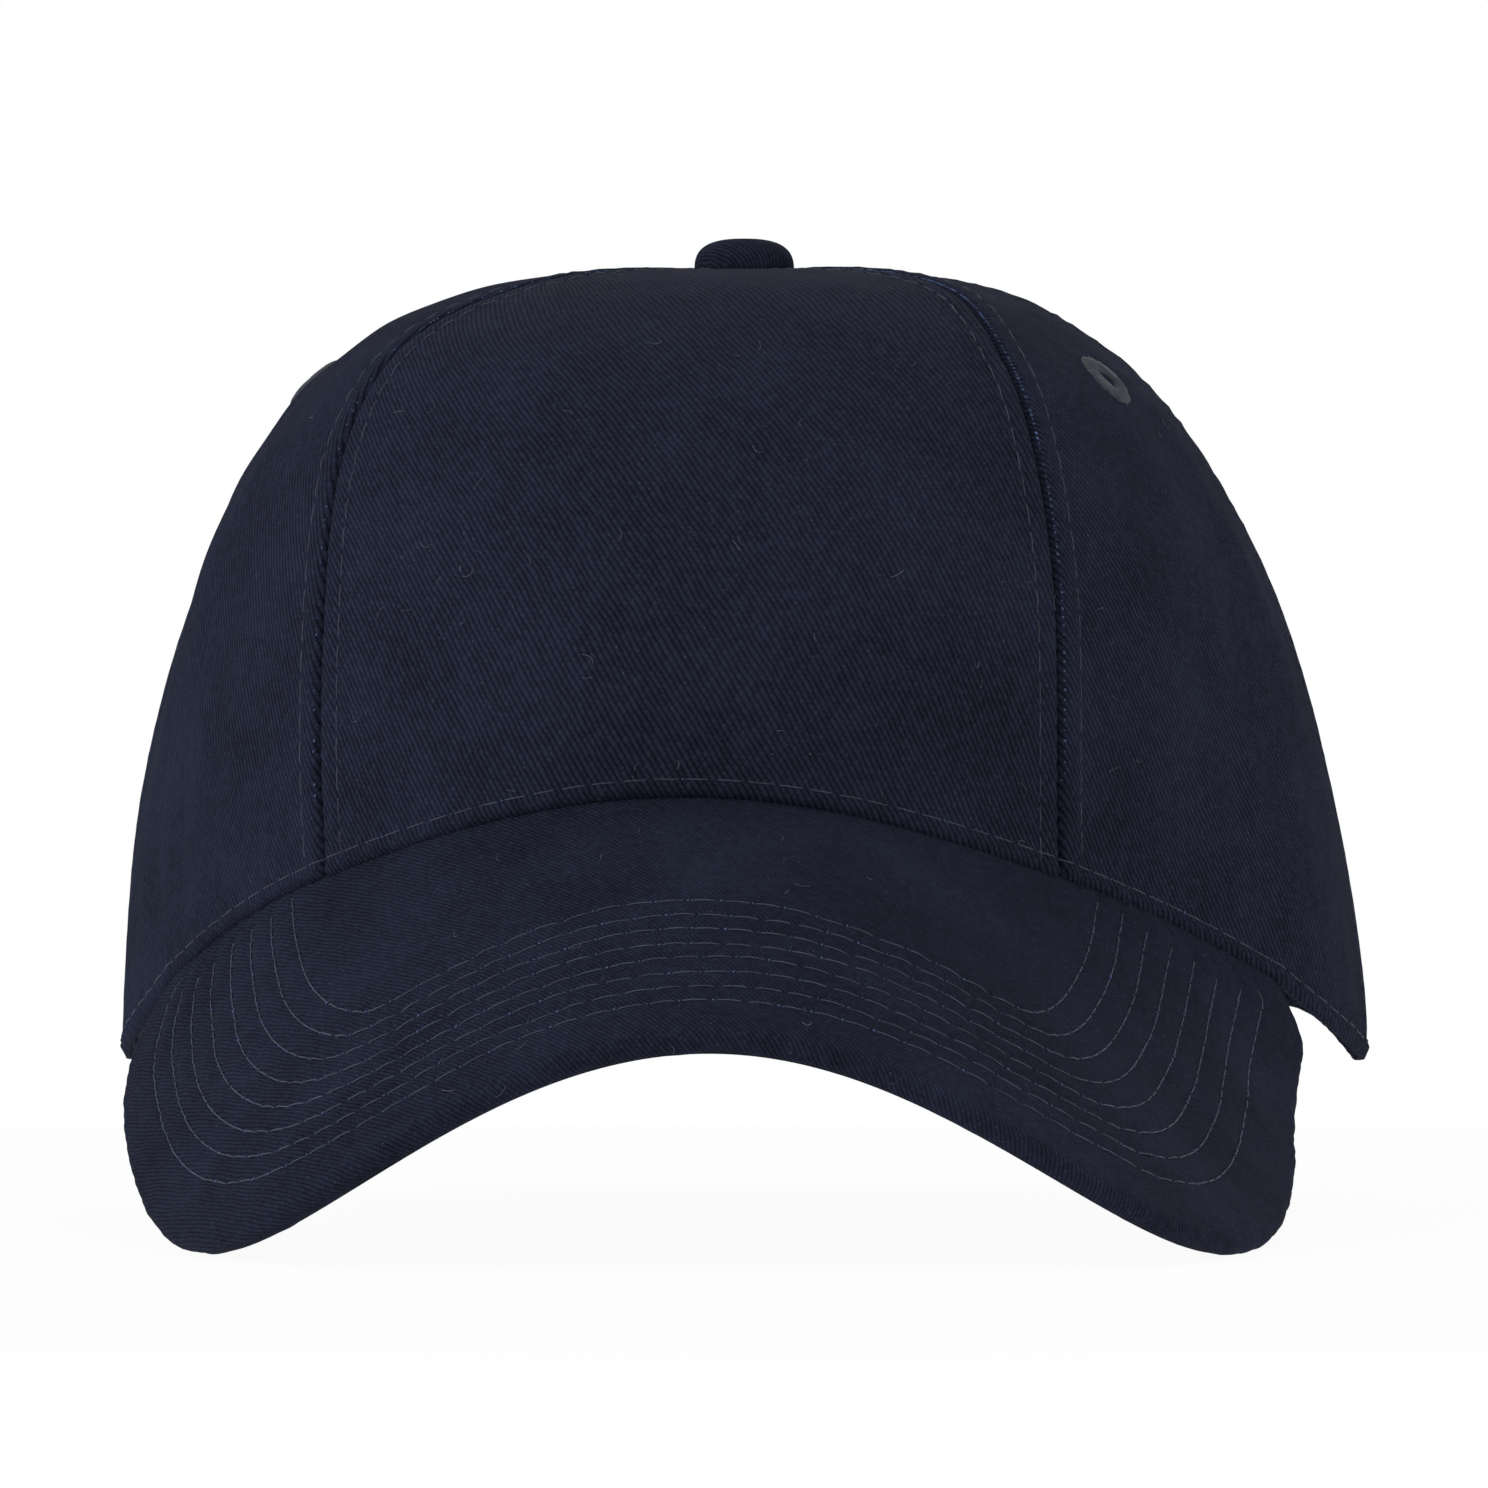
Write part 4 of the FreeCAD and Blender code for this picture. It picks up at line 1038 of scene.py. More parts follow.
def seam_fuzz_and_highlight():
    """Lint standing on the folded edges of the two front seams, thicker on the wearer's left, coloured bright
    blue partly as a painted highlight of light catching the fuzz.
    """
    for word, sign, share in (("left", 1, 0.8), ("right", -1, 0.3)):
        azimuth, height = beside_seam(lambda h: sign * seam_azimuth(h), sign * 0.7, climb_of(38.0), 0.8, 150)
        points, normals = crown_run(azimuth, height)
        ahead = unit(np.gradient(points, axis=0))
        knots = list(zip(points, normals, ahead))
        tufts(f"{word}_front_seam_lint_and_highlight", knots, LINT_BLUE_AND_HIGHLIGHT, share, 0.27, 43 + sign)


# ---------------------------------------------------------------- visor

VISOR_BEND = VISOR_CURVE * math.cos(VISOR_SLOPE)
SLOPE_RUN = np.array([0.0, -math.cos(VISOR_SLOPE), -math.sin(VISOR_SLOPE)])
SLOPE_UP = np.array([0.0, -math.sin(VISOR_SLOPE), math.cos(VISOR_SLOPE)])
VISOR_ORIGIN = np.array([0.0, -VISOR_SEAM_LENGTH, VISOR_SEAM_HEIGHT])

BEND_SIDES = np.linspace(-110, 110, 4401)
BEND_STEPS = np.hypot(np.diff(BEND_SIDES), np.diff(VISOR_BEND * BEND_SIDES**2))
BEND_RUN = np.concatenate([[0.0], np.cumsum(BEND_STEPS)])
BEND_RUN -= BEND_RUN[len(BEND_RUN) // 2]


def bent(flat, depth=0.0):
    """Places on the arched visor from flat pattern places, at a depth under the top face."""
    side = np.interp(flat[..., 0], BEND_RUN, BEND_SIDES)
    drop = -VISOR_BEND * side**2
    point = VISOR_ORIGIN + side[..., None] * np.array([1.0, 0, 0]) + drop[..., None] * SLOPE_UP
    point = point + flat[..., 1, None] * SLOPE_RUN
    return point - bent_normal(flat) * np.broadcast_to(np.asarray(depth, float), side.shape)[..., None]


def bent_normal(flat):
    """Upward unit normal of the visor's top face."""
    side = np.interp(flat[..., 0], BEND_RUN, BEND_SIDES)
    tilt = 2.0 * VISOR_BEND * side
    return unit(tilt[..., None] * np.array([1.0, 0, 0]) + SLOPE_UP)


def flattened(side, ahead):
    """Flat pattern places from places in plan on the top face."""
    drop = -VISOR_BEND * side**2
    forward = (ahead - VISOR_SEAM_LENGTH - drop * math.sin(VISOR_SLOPE)) / math.cos(VISOR_SLOPE)
    return np.stack([np.interp(side, BEND_SIDES, BEND_RUN), forward], axis=-1)


def visor_lines(inset=0.0, count=340):
    """The flat pattern's outer line and crown line, both from the wearer's right to the left."""
    end = VISOR_END - inset * 0.8
    turn = np.linspace(-end, end, 300)
    seat = wall(turn, edge_height(turn), VISOR_TUCK)
    half_width = VISOR_HALF_WIDTH - inset
    half_length = VISOR_HALF_LENGTH - inset
    first = seat[0]
    start_length = VISOR_CORNER - first[1]
    share = (start_length - VISOR_CENTRE) / half_length
    sweep = math.asin((1.0 - share**VISOR_SQUARENESS) ** (1.0 / VISOR_SQUARENESS))
    angle = np.linspace(-sweep, sweep, 700)
    side = half_width * np.sin(angle)
    reach = (1.0 - np.abs(np.sin(angle)) ** VISOR_SQUARENESS) ** (1.0 / VISOR_SQUARENESS)
    ahead = VISOR_CENTRE + half_length * reach
    quarter = np.linspace(0, math.pi / 2, 24)[:-1]
    corner_side = first[0] + (side[0] - first[0]) * np.sin(quarter)
    corner_ahead = start_length + (-first[1] - start_length) * np.cos(quarter)
    side = np.concatenate([corner_side, side, -corner_side[::-1]])
    ahead = np.concatenate([corner_ahead, ahead, corner_ahead[::-1]])
    rim = flattened(side, ahead)
    crown = flattened(seat[:, 0], -seat[:, 1])
    rim = along(rim, np.linspace(0, spans(rim)[-1], count))
    crown = along(crown, np.linspace(0, spans(crown)[-1], count))
    return rim, crown


def inward_normals(line):
    """Unit normals of the rim line that point into the flat pattern."""
    tangent = unit(np.gradient(line, axis=0))
    return np.stack([tangent[:, 1], -tangent[:, 0]], axis=-1)


def quilting(distance):
    """Relief of the cloth between and under the visor's stitch rows, by distance from the rim."""
    last = VISOR_FIRST_ROW + VISOR_ROW_SPACING * (VISOR_ROWS - 1)
    share = (distance - VISOR_FIRST_ROW) / VISOR_ROW_SPACING
    inside = smooth(distance, VISOR_FIRST_ROW - 1.2, VISOR_FIRST_ROW)
    inside = inside * (1.0 - smooth(distance, last, last + 1.2))
    channel = np.abs(np.sin(math.pi * share)) ** 0.55
    rows = inside * (0.44 * channel - 0.27)
    shoulder = (1.0 - inside) * 0.1
    return rows + shoulder


def visor_sheet():
    """The rim line, its inward normals, and the flat places and rim distances of a visor cover's grid."""
    rows = 78
    rim, crown = visor_lines()
    inward = inward_normals(rim)
    radius = VISOR_THICKNESS / 2
    start = rim + inward * radius
    share = np.linspace(1, 0, rows)[None, :, None]
    flat = start[:, None, :] + (crown - start)[:, None, :] * share
    distance = nearest(flat, rim)
    return rim, inward, flat, distance


def top_cover():
    """The visor's top cover, quilted by its stitch rows and rolled around the rim."""
    radius = VISOR_THICKNESS / 2
    rim, inward, flat, distance = visor_sheet()
    relief = quilting(distance)
    base = bent(flat)
    relief = relief + 0.10 * ripple(base, 22.0, 21) + 0.05 * ripple(base, 7.0, 22)
    relief = relief * smooth(distance, radius - 0.2, radius + 2.5)
    near_crown = nearest(flat, visor_lines()[1])
    relief = relief * smooth(near_crown, 1.0, 5.0)
    face = bent(flat) + bent_normal(flat) * relief[..., None]
    turn = np.radians(np.linspace(90, -72, 12))[1:]
    wrap_flat = rim[:, None, :] + inward[:, None, :] * (radius * (1.0 - np.cos(turn)))[None, :, None]
    wrap_depth = radius * (1.0 - np.sin(turn))
    wrap = bent(wrap_flat, np.broadcast_to(wrap_depth, wrap_flat.shape[:2]))
    wave = 0.07 * ripple(wrap, 9.0, 23) + 0.05 * ripple(wrap, 4.0, 24)
    outwards = unit(wrap - bent(rim[:, None, :] + inward[:, None, :] * radius, radius))
    wrap = wrap + outwards * wave[..., None]
    face = np.concatenate([face, wrap], axis=1)
    thin = 0.5
    back_flat = bent(flat, thin) + bent_normal(flat) * (relief * 0.6)[..., None]
    back_wrap = wrap - outwards * thin
    back = np.concatenate([back_flat, back_wrap], axis=1)
    start = rim[:, None, :] + inward[:, None, :] * radius
    wrap_uv = start - inward[:, None, :] * (radius * (math.pi / 2 - turn))[None, :, None]
    uv = np.concatenate([flat, wrap_uv], axis=1) * np.array([1.0, -1.0])
    item = shell("visor_top_cloth", settle(face), settle(back), uv)
    fit(item, "visor_top_cover", TWILL_VISOR)
    return item


def under_cover():
    """The visor's under cover, with a small turned edge inside the wrapped rim."""
    radius = VISOR_THICKNESS / 2
    rim, inward, flat, distance = visor_sheet()
    relief = quilting(distance) * 0.8
    relief = relief * smooth(distance, radius, radius + 3.0)
    edge_flat = rim[:, None, :] + inward[:, None, :] * np.array([1.25, 0.95, 0.75])[None, :, None]
    edge_depth = np.array([0.03, 0.16, 0.42])
    low = VISOR_THICKNESS + 0.05
    face = bent(flat, low) - bent_normal(flat) * (relief + 0.05 * ripple(bent(flat), 15.0, 31))[..., None]
    edge = bent(edge_flat, low - np.broadcast_to(edge_depth, edge_flat.shape[:2]))
    face = np.concatenate([face, edge], axis=1)
    all_flat = np.concatenate([flat, edge_flat], axis=1)
    back = face + bent_normal(all_flat) * 0.42
    item = shell("visor_under_cloth", settle(back), settle(face), all_flat * np.array([1.0, -1.0]))
    fit(item, "visor_under_cover", TWILL_UNDER)
    return item


def board():
    """The visor's board between its covers."""
    rim, crown = visor_lines(inset=1.5, count=160)
    share = np.linspace(1, 0, 30)[None, :, None]
    flat = rim[:, None, :] + (crown - rim)[:, None, :] * share
    face = settle(bent(flat, BOARD_DEPTH))
    back = settle(bent(flat, BOARD_DEPTH + BOARD_THICKNESS))
    item = shell("visor_board_piece", face, back, flat)
    fit(item, "visor_board", BOARD)


def visor_rows():
    """Flat lines of the stitch rows, each parallel to the rim, cut where they meet the crown."""
    rim, _ = visor_lines(count=900)
    inward = inward_normals(rim)
    rows = []
    for index in range(VISOR_ROWS):
        offset = VISOR_FIRST_ROW + VISOR_ROW_SPACING * index
        line = rim + inward * offset
        clear = nearest(line, rim) > offset - 0.12
        place = bent(line)
        azimuth = np.degrees(np.arctan2(place[:, 0], -place[:, 1]))
        outside = np.hypot(place[:, 0], place[:, 1]) > crown_radius(azimuth, place[:, 2]) + 0.9
        rows.append(line[clear & outside])
    return rows


def visor_stitching(top_item, under_item):
    """The visor's stitch rows, above and below; gives back the top rows' needle holes."""
    top_tree = tree_of(top_item)
    under_tree = tree_of(under_item)
    top_runs = []
    under_runs = []
    for line in visor_rows():
        if len(line) < 20:
            continue
        fine = along(line, np.linspace(0, spans(line)[-1], 420))
        normals = bent_normal(fine)
        top_runs.append((drape(top_tree, settle(bent(fine)), normals), normals))
        under_runs.append((drape(under_tree, settle(bent(fine, VISOR_THICKNESS)), -normals), -normals))
    item, knots = sew("visor_top_stitches", top_runs, "crown", lift=0.1)
    paint(item, THREAD_VISOR)
    item, _ = sew("visor_under_stitches", under_runs, "crown", lift=0.1)
    paint(item, THREAD_NAVY)
    return knots


TOP_COVER = top_cover()
UNDER_COVER = under_cover()
board()
VISOR_KNOTS = visor_stitching(TOP_COVER, UNDER_COVER)
CROWN_KNOTS = crown_stitching()
# lint tufts at the needle holes; their bright blue is partly a painted highlight
tufts("visor_needle_lint_and_highlight", VISOR_KNOTS, LINT_BLUE_AND_HIGHLIGHT, 0.75, 0.24, 41)
tufts("crown_needle_lint_and_highlight", CROWN_KNOTS, LINT_BLUE_AND_HIGHLIGHT, 0.3, 0.22, 42)
seam_fuzz_and_highlight()


# ---------------------------------------------------------------- inside trim


def lining(name, node, azimuth, height, depth, thickness, material, wave=0.0):
    """An inside piece of cloth that follows the crown at a depth."""
    depth = np.broadcast_to(depth, azimuth.shape)
    base = wall(azimuth, height, depth)
    relief = wave * ripple(base, 16.0, len(name))
    to_side = np.minimum(nearest(base, base[0]), nearest(base, base[-1]))
    soft = roll(to_side, 0.5, 0.16) + roll(nearest(base, base[:, -1]), 0.5, 0.16)
    face = wall(azimuth, height, depth + relief - soft)
    back = wall(azimuth, height, depth + thickness + relief + soft)
    item = shell(name, settle(face), settle(back), cloth_uv(base))
    fit(item, node, material)


def inner_run(azimuth, height, depth):
    """A stitch path on the inner side of a piece, facing into the cap."""
    return settle(wall(azimuth, height, depth)), -outward(azimuth, height)


def front_buckram():
    """The stiffening cloth behind the front panel."""
    margin = math.degrees(BUCKRAM_MARGIN / HALF_WIDTH)
    line = side_line(lambda h: -seam_azimuth(h) + margin, lambda h: seam_azimuth(h) - margin)
    turn = np.linspace(-SEAM_LOW + margin, SEAM_LOW - margin, 60)
    azimuth, height = climb_grid(line, edge_height(turn) + BUCKRAM_MARGIN, BUCKRAM_TOP, 60, 60)
    lining("front_buckram_cloth", "front_buckram", azimuth, height, BUCKRAM_DEPTH, BUCKRAM_THICKNESS, BUCKRAM)


def seam_lines():
    """Azimuth of each crown seam as a function of height."""
    return {
        "left_front": seam_azimuth,
        "right_front": lambda h: -seam_azimuth(h),
        "left_side": lambda h: SIDE_SEAM + 0.0 * h,
        "right_side": lambda h: -SIDE_SEAM + 0.0 * h,
        "rear": lambda h: 180.0 + 0.0 * h,
    }


def seam_foot(word, seam):
    """Height at which a crown seam starts."""
    if word == "rear":
        return ARCH_HEIGHT
    middle = float(seam(np.array([20.0]))[0])
    return float(edge_height(np.array([middle]))[0])


def seam_allowances():
    """The turned-in cloth under each seam, which closes the seam from the foot to the button."""
    for word, seam in seam_lines().items():

        def line(across, height, climbed, seam=seam):
            half = np.arcsin(ALLOWANCE_HALF_WIDTH / plan_radius(seam(height), height, TOP_HOLE))
            return seam(height) + (2.0 * across - 1.0) * np.degrees(half)

        foot = seam_foot(word, seam) + ALLOWANCE_MARGIN
        azimuth, height = climb_grid(line, np.full(6, foot), TOP_HOLE, 6, 130)
        face = wall(azimuth, height, np.full(azimuth.shape, ALLOWANCE_DEPTH))
        back = wall(azimuth, height, np.full(azimuth.shape, ALLOWANCE_DEPTH + ALLOWANCE_THICKNESS))
        item = shell(f"{word}_seam_allowance", settle(face), settle(back), cloth_uv(face))
        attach(item, "crown")
        paint(item, TAPE)


def seam_tapes():
    """Tapes over the five seams, each with two rows of stitches."""
    runs = []
    for word, seam in seam_lines().items():

        def half_angle(height, offset, seam=seam):
            return np.degrees(np.arcsin(offset / plan_radius(seam(height), height, 8.8)))

        def line(across, height, climbed, seam=seam, half_angle=half_angle):
            return seam(height) + (2.0 * across - 1.0) * half_angle(height, TAPE_HALF_WIDTH)

        foot = seam_foot(word, seam) + TAPE_MARGIN
        azimuth, height = climb_grid(line, np.full(12, foot), TAPE_TOP, 12, 90)
        lining(f"{word}_seam_tape_cloth", f"{word}_seam_tape", azimuth, height, TAPE_DEPTH, TAPE_THICKNESS,
               TAPE, wave=0.05)
        reach = height[6, 1:-1]
        for side in (-SEAM_STITCH, SEAM_STITCH):
            turned = seam(reach) + half_angle(reach, abs(side)) * np.sign(side)
            runs.append(inner_run(turned, reach, TAPE_DEPTH + TAPE_THICKNESS))
    item, _ = sew("seam_tape_stitches", runs, "crown")
    paint(item, THREAD_NAVY)


def sweatband():
    """The band on the forehead, padded and sewn along its lower edge."""
    turn = np.linspace(-BAND_END, BAND_END, 260)[:, None]
    share = np.linspace(0, 1, 26)[None, :]
    lift = BAND_SIDE_RISE * smooth(np.abs(turn), BAND_RISE_START, BAND_RISE_END)
    foot = edge_height(turn) + BAND_RISE + lift
    height = foot + BAND_HEIGHT * share
    azimuth = turn + 0.0 * share
    depth = BAND_DEPTH_FRONT + (BAND_DEPTH_REAR - BAND_DEPTH_FRONT) * smooth(np.abs(azimuth), 85, 115)
    lining("sweatband_cloth", "sweatband", azimuth, height, depth, BAND_THICKNESS, BAND, wave=0.12)
    runs = []
    for rise in (2.2, BAND_HEIGHT - 2.4):
        level = foot[:, 0] + rise
        runs.append(inner_run(turn[:, 0], level, depth[:, 0] + BAND_THICKNESS))
    item, _ = sew("sweatband_stitches", runs, "crown", lift=0.08)
    paint(item, THREAD_NAVY)


def size_label():
    """A blank woven label sewn to the sweatband."""
    turn = np.linspace(-LABEL_HALF_ANGLE, LABEL_HALF_ANGLE, 30)[:, None]
    share = np.linspace(0, 1, 20)[None, :]
    azimuth = turn + 0.0 * share
    height = LABEL_LOW + LABEL_HEIGHT * share + 0.0 * turn
    depth = BAND_DEPTH_FRONT + BAND_THICKNESS + 0.15
    thickness = 0.4
    lining("size_label_cloth", "size_label", azimuth, height, depth, thickness, LABEL)
    inset = 1.2
    side = LABEL_HALF_ANGLE - inset
    low = LABEL_LOW + inset
    high = LABEL_LOW + LABEL_HEIGHT - inset
    corners = [(-side, low), (side, low), (side, high), (-side, high), (-side, low)]
    runs = []
    for (first_turn, first_height), (last_turn, last_height) in zip(corners, corners[1:]):
        turned = np.linspace(first_turn, last_turn, 40)
        level = np.linspace(first_height, last_height, 40)
        runs.append(inner_run(turned, level, depth + thickness))
    item, _ = sew("size_label_stitches", runs, "crown", pitch=2.4, length=2.0)
    paint(item, THREAD_NAVY)


def rear_binding():
    """The tape that finishes the rear opening on the inside."""
    grows = np.linspace(0.15, BINDING_WIDTH, 10)
    azimuths = []
    heights = []
    for grow in grows:
        side, high = arch_line(grow, 120)
        high = np.maximum(high, REAR_RISE + 0.3)
        azimuths.append(rear_azimuth(side, high))
        heights.append(high)
    azimuth = np.stack(azimuths, axis=1)
    height = np.stack(heights, axis=1)
    lining("rear_arch_binding_cloth", "rear_arch_binding", azimuth[::-1], height[::-1], BINDING_DEPTH,
           BINDING_THICKNESS, TAPE, wave=0.04)
    runs = []
    for grow in (EDGE_STITCH, EDGE_STITCH + 4.6):
        side, high = arch_line(grow)
        runs.append(inner_run(rear_azimuth(side, high), high, BINDING_DEPTH + BINDING_THICKNESS))
    item, _ = sew("rear_binding_stitches", runs, "crown")
    paint(item, THREAD_NAVY)


# ---------------------------------------------------------------- eyelets and button


def pierce(item, centre, normal, radius):
    """A round hole through a piece of cloth."""
    cutter_mesh = bpy.data.meshes.new("cutter")
    ring = 40
    reach = 4.0
    side = unit(np.cross(normal, np.array([0.0, 0.0, 1.0])))
    up = np.cross(side, normal)
    turn = np.linspace(0, 2 * math.pi, ring, endpoint=False)
    circle = centre + radius * (np.cos(turn)[:, None] * side + np.sin(turn)[:, None] * up)
    vertices = np.concatenate([circle - normal * reach, circle + normal * reach]) * MM
    faces = [(k, (k + 1) % ring, ring + (k + 1) % ring, ring + k) for k in range(ring)]
    faces += [tuple(reversed(range(ring))), tuple(range(ring, 2 * ring))]
    cutter_mesh.from_pydata(vertices.tolist(), [], faces)
    cutter = bpy.data.objects.new("cutter", cutter_mesh)
    bpy.context.scene.collection.objects.link(cutter)
    hole = item.modifiers.new("hole", "BOOLEAN")
    hole.operation = "DIFFERENCE"
    hole.object = cutter
    hole.solver = "EXACT"
    bpy.context.view_layer.update()
    seen = item.evaluated_get(bpy.context.evaluated_depsgraph_get())
    mesh = bpy.data.meshes.new_from_object(seen)
    item.modifiers.clear()
    item.data = mesh
    bpy.data.objects.remove(cutter)


def ring_of_thread(name, centre, normal, tree):
    """An embroidered eyelet: satin stitches around a hole, over the cloth on both faces."""
    side = unit(np.cross(normal, np.array([0.0, 0.0, 1.0])))
    up = np.cross(side, normal)
    source = np.random.default_rng(SEED + len(name) * 13)
    outer_side = [(1.55, -0.45), (1.62, 0.0), (1.95, 0.32), (2.6, 0.48), (3.3, 0.46), (3.95, 0.32),
                  (4.45, 0.1), (EYELET_RADIUS, -0.14)]
    inner_side = [(3.4, -0.45), (3.2, -0.85), (4.3, -1.05), (4.35, -1.35), (3.4, -1.62), (2.4, -1.62),
                  (1.75, -1.3)]
    section = np.array(outer_side + inner_side)
    threads = 58
    turn = np.linspace(0, 2 * math.pi, threads * 4, endpoint=False)
    uneven = np.repeat(source.uniform(-1, 1, threads), 4)
    ridge = np.cos(threads * turn) * 0.5 + 0.5
    vertices = np.zeros((len(turn), len(section), 3))
    for k, angle in enumerate(turn):
        away = math.cos(angle) * side + math.sin(angle) * up
        radius = section[:, 0].copy()
        radius[5:8] += 0.16 * uneven[k]
        spots = centre + away * radius[:, None]
        seat = drape(tree, spots, np.tile(normal, (len(spots), 1)), 3.0)
        drop = (seat - spots) @ normal
        drop = np.where(np.abs(drop) > 1.5, 0.0, drop)
        fall = np.where(section[:, 0] < 2.4, np.interp(2.4, section[:8, 0], drop[:8]), drop)
        bulge = np.where(section[:, 1] > 0, 0.11, np.where(section[:, 1] < -1.2, -0.08, 0.0)) * ridge[k]
        vertices[k] = spots + normal * (section[:, 1] + fall + bulge)[:, None]
    flat = vertices.reshape(-1, 3)
    faces = []
    rows = len(section)
    for k in range(len(turn)):
        j = (k + 1) % len(turn)
        for row in range(rows):
            above = (row + 1) % rows
            faces.append((k * rows + row, k * rows + above, j * rows + above, j * rows + row))
    item = make_mesh(name, flat, faces)
    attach(item, "crown")
    return item


def eyelets():
    """The four ventilation eyelets and their holes in the panels."""
    hosts = {piece.name: piece for piece in PANELS}
    for word, azimuth in EYELETS.items():
        normal = outward(np.array(azimuth), np.array(EYELET_HEIGHT))
        centre = settle(wall(azimuth, EYELET_HEIGHT))
        seat = drape(CROWN_TREE, centre[None], normal[None])[0]
        item = ring_of_thread(f"{word}_eyelet_ring", seat, normal, CROWN_TREE)
        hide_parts(f"{word}_eyelet")
        paint(item, EMBROIDERY)
        pierce(hosts[f"{word}_panel_cloth"], seat, normal, EYELET_HOLE + 0.5)


def lathe(name, profile, centre, columns, shape):
    """A solid turned about an upright axis. The profile starts and ends on it; shape moves each point."""
    profile = np.asarray(profile, float)
    turn = np.linspace(0, 2 * math.pi, columns, endpoint=False)
    inner = profile[1:-1]
    vertices = [np.array([0, 0, profile[0, 1]]), np.array([0, 0, profile[-1, 1]])]
    for angle in turn:
        for radius, height in inner:
            place = np.array([radius * math.cos(angle), radius * math.sin(angle), height])
            vertices.append(shape(place, angle))
    rows = len(inner)
    faces = []
    for k in range(columns):
        j = (k + 1) % columns
        faces.append((0, 2 + k * rows, 2 + j * rows))
        faces.append((1, 2 + j * rows + rows - 1, 2 + k * rows + rows - 1))
        for row in range(rows - 1):
            near = 2 + k * rows + row
            far = 2 + j * rows + row
            faces.append((near, near + 1, far + 1, far))
    vertices = np.array(vertices)
    below_top = BUTTON_HEIGHT - np.minimum(vertices[:, 2:3], BUTTON_HEIGHT)
    uv = vertices[:, :2] * (1.0 + below_top / BUTTON_RADIUS)
    return make_mesh(name, vertices + np.asarray(centre), faces, uv)


def button():
    """The cloth-covered button: a domed cap gathered under its rim in small pleats."""
    fullness = 2.7
    angles = np.linspace(math.pi / 2, 0, 26)
    radius = BUTTON_RADIUS * np.cos(angles) ** (2 / fullness)
    height = BUTTON_HEIGHT * np.sin(angles) ** (2 / fullness)
    outside = list(zip(radius, height + 0.02))
    hem = [(6.95, -0.2), (6.6, -0.42), (5.6, -0.45), (4.65, -0.42), (4.6, -0.15), (5.6, -0.08), (6.4, 0.1)]
    inside = [(r * 0.925, h * 0.88 - 0.03) for r, h in outside[::-1][2:]]
    profile = [(0.0, BUTTON_HEIGHT + 0.02)] + outside[1:] + hem + inside[:-1] + [(0.0, BUTTON_HEIGHT * 0.88)]

    def pleated(place, angle):
        low = 1.0 - smooth(place[2], 0.0, 2.6)
        swell = 0.11 * math.cos(17 * angle + 0.6) * low * smooth(math.hypot(place[0], place[1]), 4.8, 6.4)
        dent = 0.06 * math.sin(5 * angle) * smooth(math.hypot(place[0], place[1]), 2, 6)
        out = place.copy()
        out[:2] *= 1.0 + (swell + dent) / BUTTON_RADIUS
        return out

    item = lathe("button_cover_cloth", profile, (0, 0, BUTTON_SEAT), 120, pleated)
    fit(item, "button_cover", TWILL_BUTTON)
    for node in ("button_shell", "button_back", "button_washer"):
        refinish(node, BUTTON_METAL)


def refinish(node, material):
    """A procedural finish on a CAD piece whose shape is already right."""
    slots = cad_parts[node].material_slots
    for slot in slots:
        slot.material = material
    if not slots:
        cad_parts[node].data.materials.append(material)


# ---------------------------------------------------------------- strap and clasp


def strap_point(turn, height, depth=0.0):
    """Places on the strap; turn is degrees from the rear towards the wearer's left."""
    share = (height - STRAP_LOW) / STRAP_WIDTH
    radius = STRAP_LOW_RADIUS + (STRAP_HIGH_RADIUS - STRAP_LOW_RADIUS) * share - depth
    angle = np.radians(turn)
    level = height + 0.0 * angle
    return STRAP_AXIS + np.stack([radius * np.sin(angle), radius * np.cos(angle), level], axis=-1)


def strap():
    """The closure strap: folded cloth with soft edges, two sewn rows and a stitched tail."""
    turn = np.linspace(STRAP_SEWN, -STRAP_TAIL, 190)[:, None]
    spread = np.linspace(-1, 1, 27)
    share = (np.sign(spread) * np.abs(spread) ** 0.8 + 1.0)[None, :] / 2
    height = STRAP_LOW + STRAP_WIDTH * share + 0.0 * turn
    turned = turn + 0.0 * share
    from_edge = STRAP_WIDTH * np.minimum(share, 1.0 - share) + 0.0 * turn
    run = np.radians(STRAP_SEWN - turned) * STRAP_LOW_RADIUS
    seam = 2.2
    sunk = -0.13 * bump(from_edge, seam, 0.5)
    pucker = 0.05 * np.cos(2 * math.pi * run / STITCH_PITCH) * bump(from_edge, seam, 1.4)
    relief = roll(from_edge, 0.8, 0.42) + sunk + pucker
    face = strap_point(turned, height, -relief)
    back = strap_point(turned, height, STRAP_THICKNESS + relief)
    item = shell("strap_cloth", face[::-1], back[::-1], cloth_uv(face)[::-1])
    fit(item, "strap", TWILL_STRAP, "strap")
    tree = tree_of(item)
    path = np.linspace(STRAP_SEWN - 1, 1.6 - STRAP_TAIL, 300)
    out_normal = np.stack([np.sin(np.radians(path)), np.cos(np.radians(path)), 0 * path], axis=-1)
    runs = []
    for level in (STRAP_LOW + seam, STRAP_LOW + STRAP_WIDTH - seam):
        for normal, depth in ((out_normal, 0.0), (-out_normal, STRAP_THICKNESS)):
            points = strap_point(path, np.full(300, level), depth)
            runs.append((drape(tree, points, normal, 2.0), normal))
    for away in (1.6, 5.0):
        level = np.linspace(STRAP_LOW + seam, STRAP_LOW + STRAP_WIDTH - seam, 40)
        across = np.full(40, away - STRAP_TAIL)
        normal = np.tile([np.sin(np.radians(across[0])), np.cos(np.radians(across[0])), 0.0], (40, 1))
        runs.append((drape(tree, strap_point(across, level), normal, 2.0), normal))
    stitches, _ = sew("strap_stitches", runs, "strap")
    paint(stitches, THREAD_NAVY)


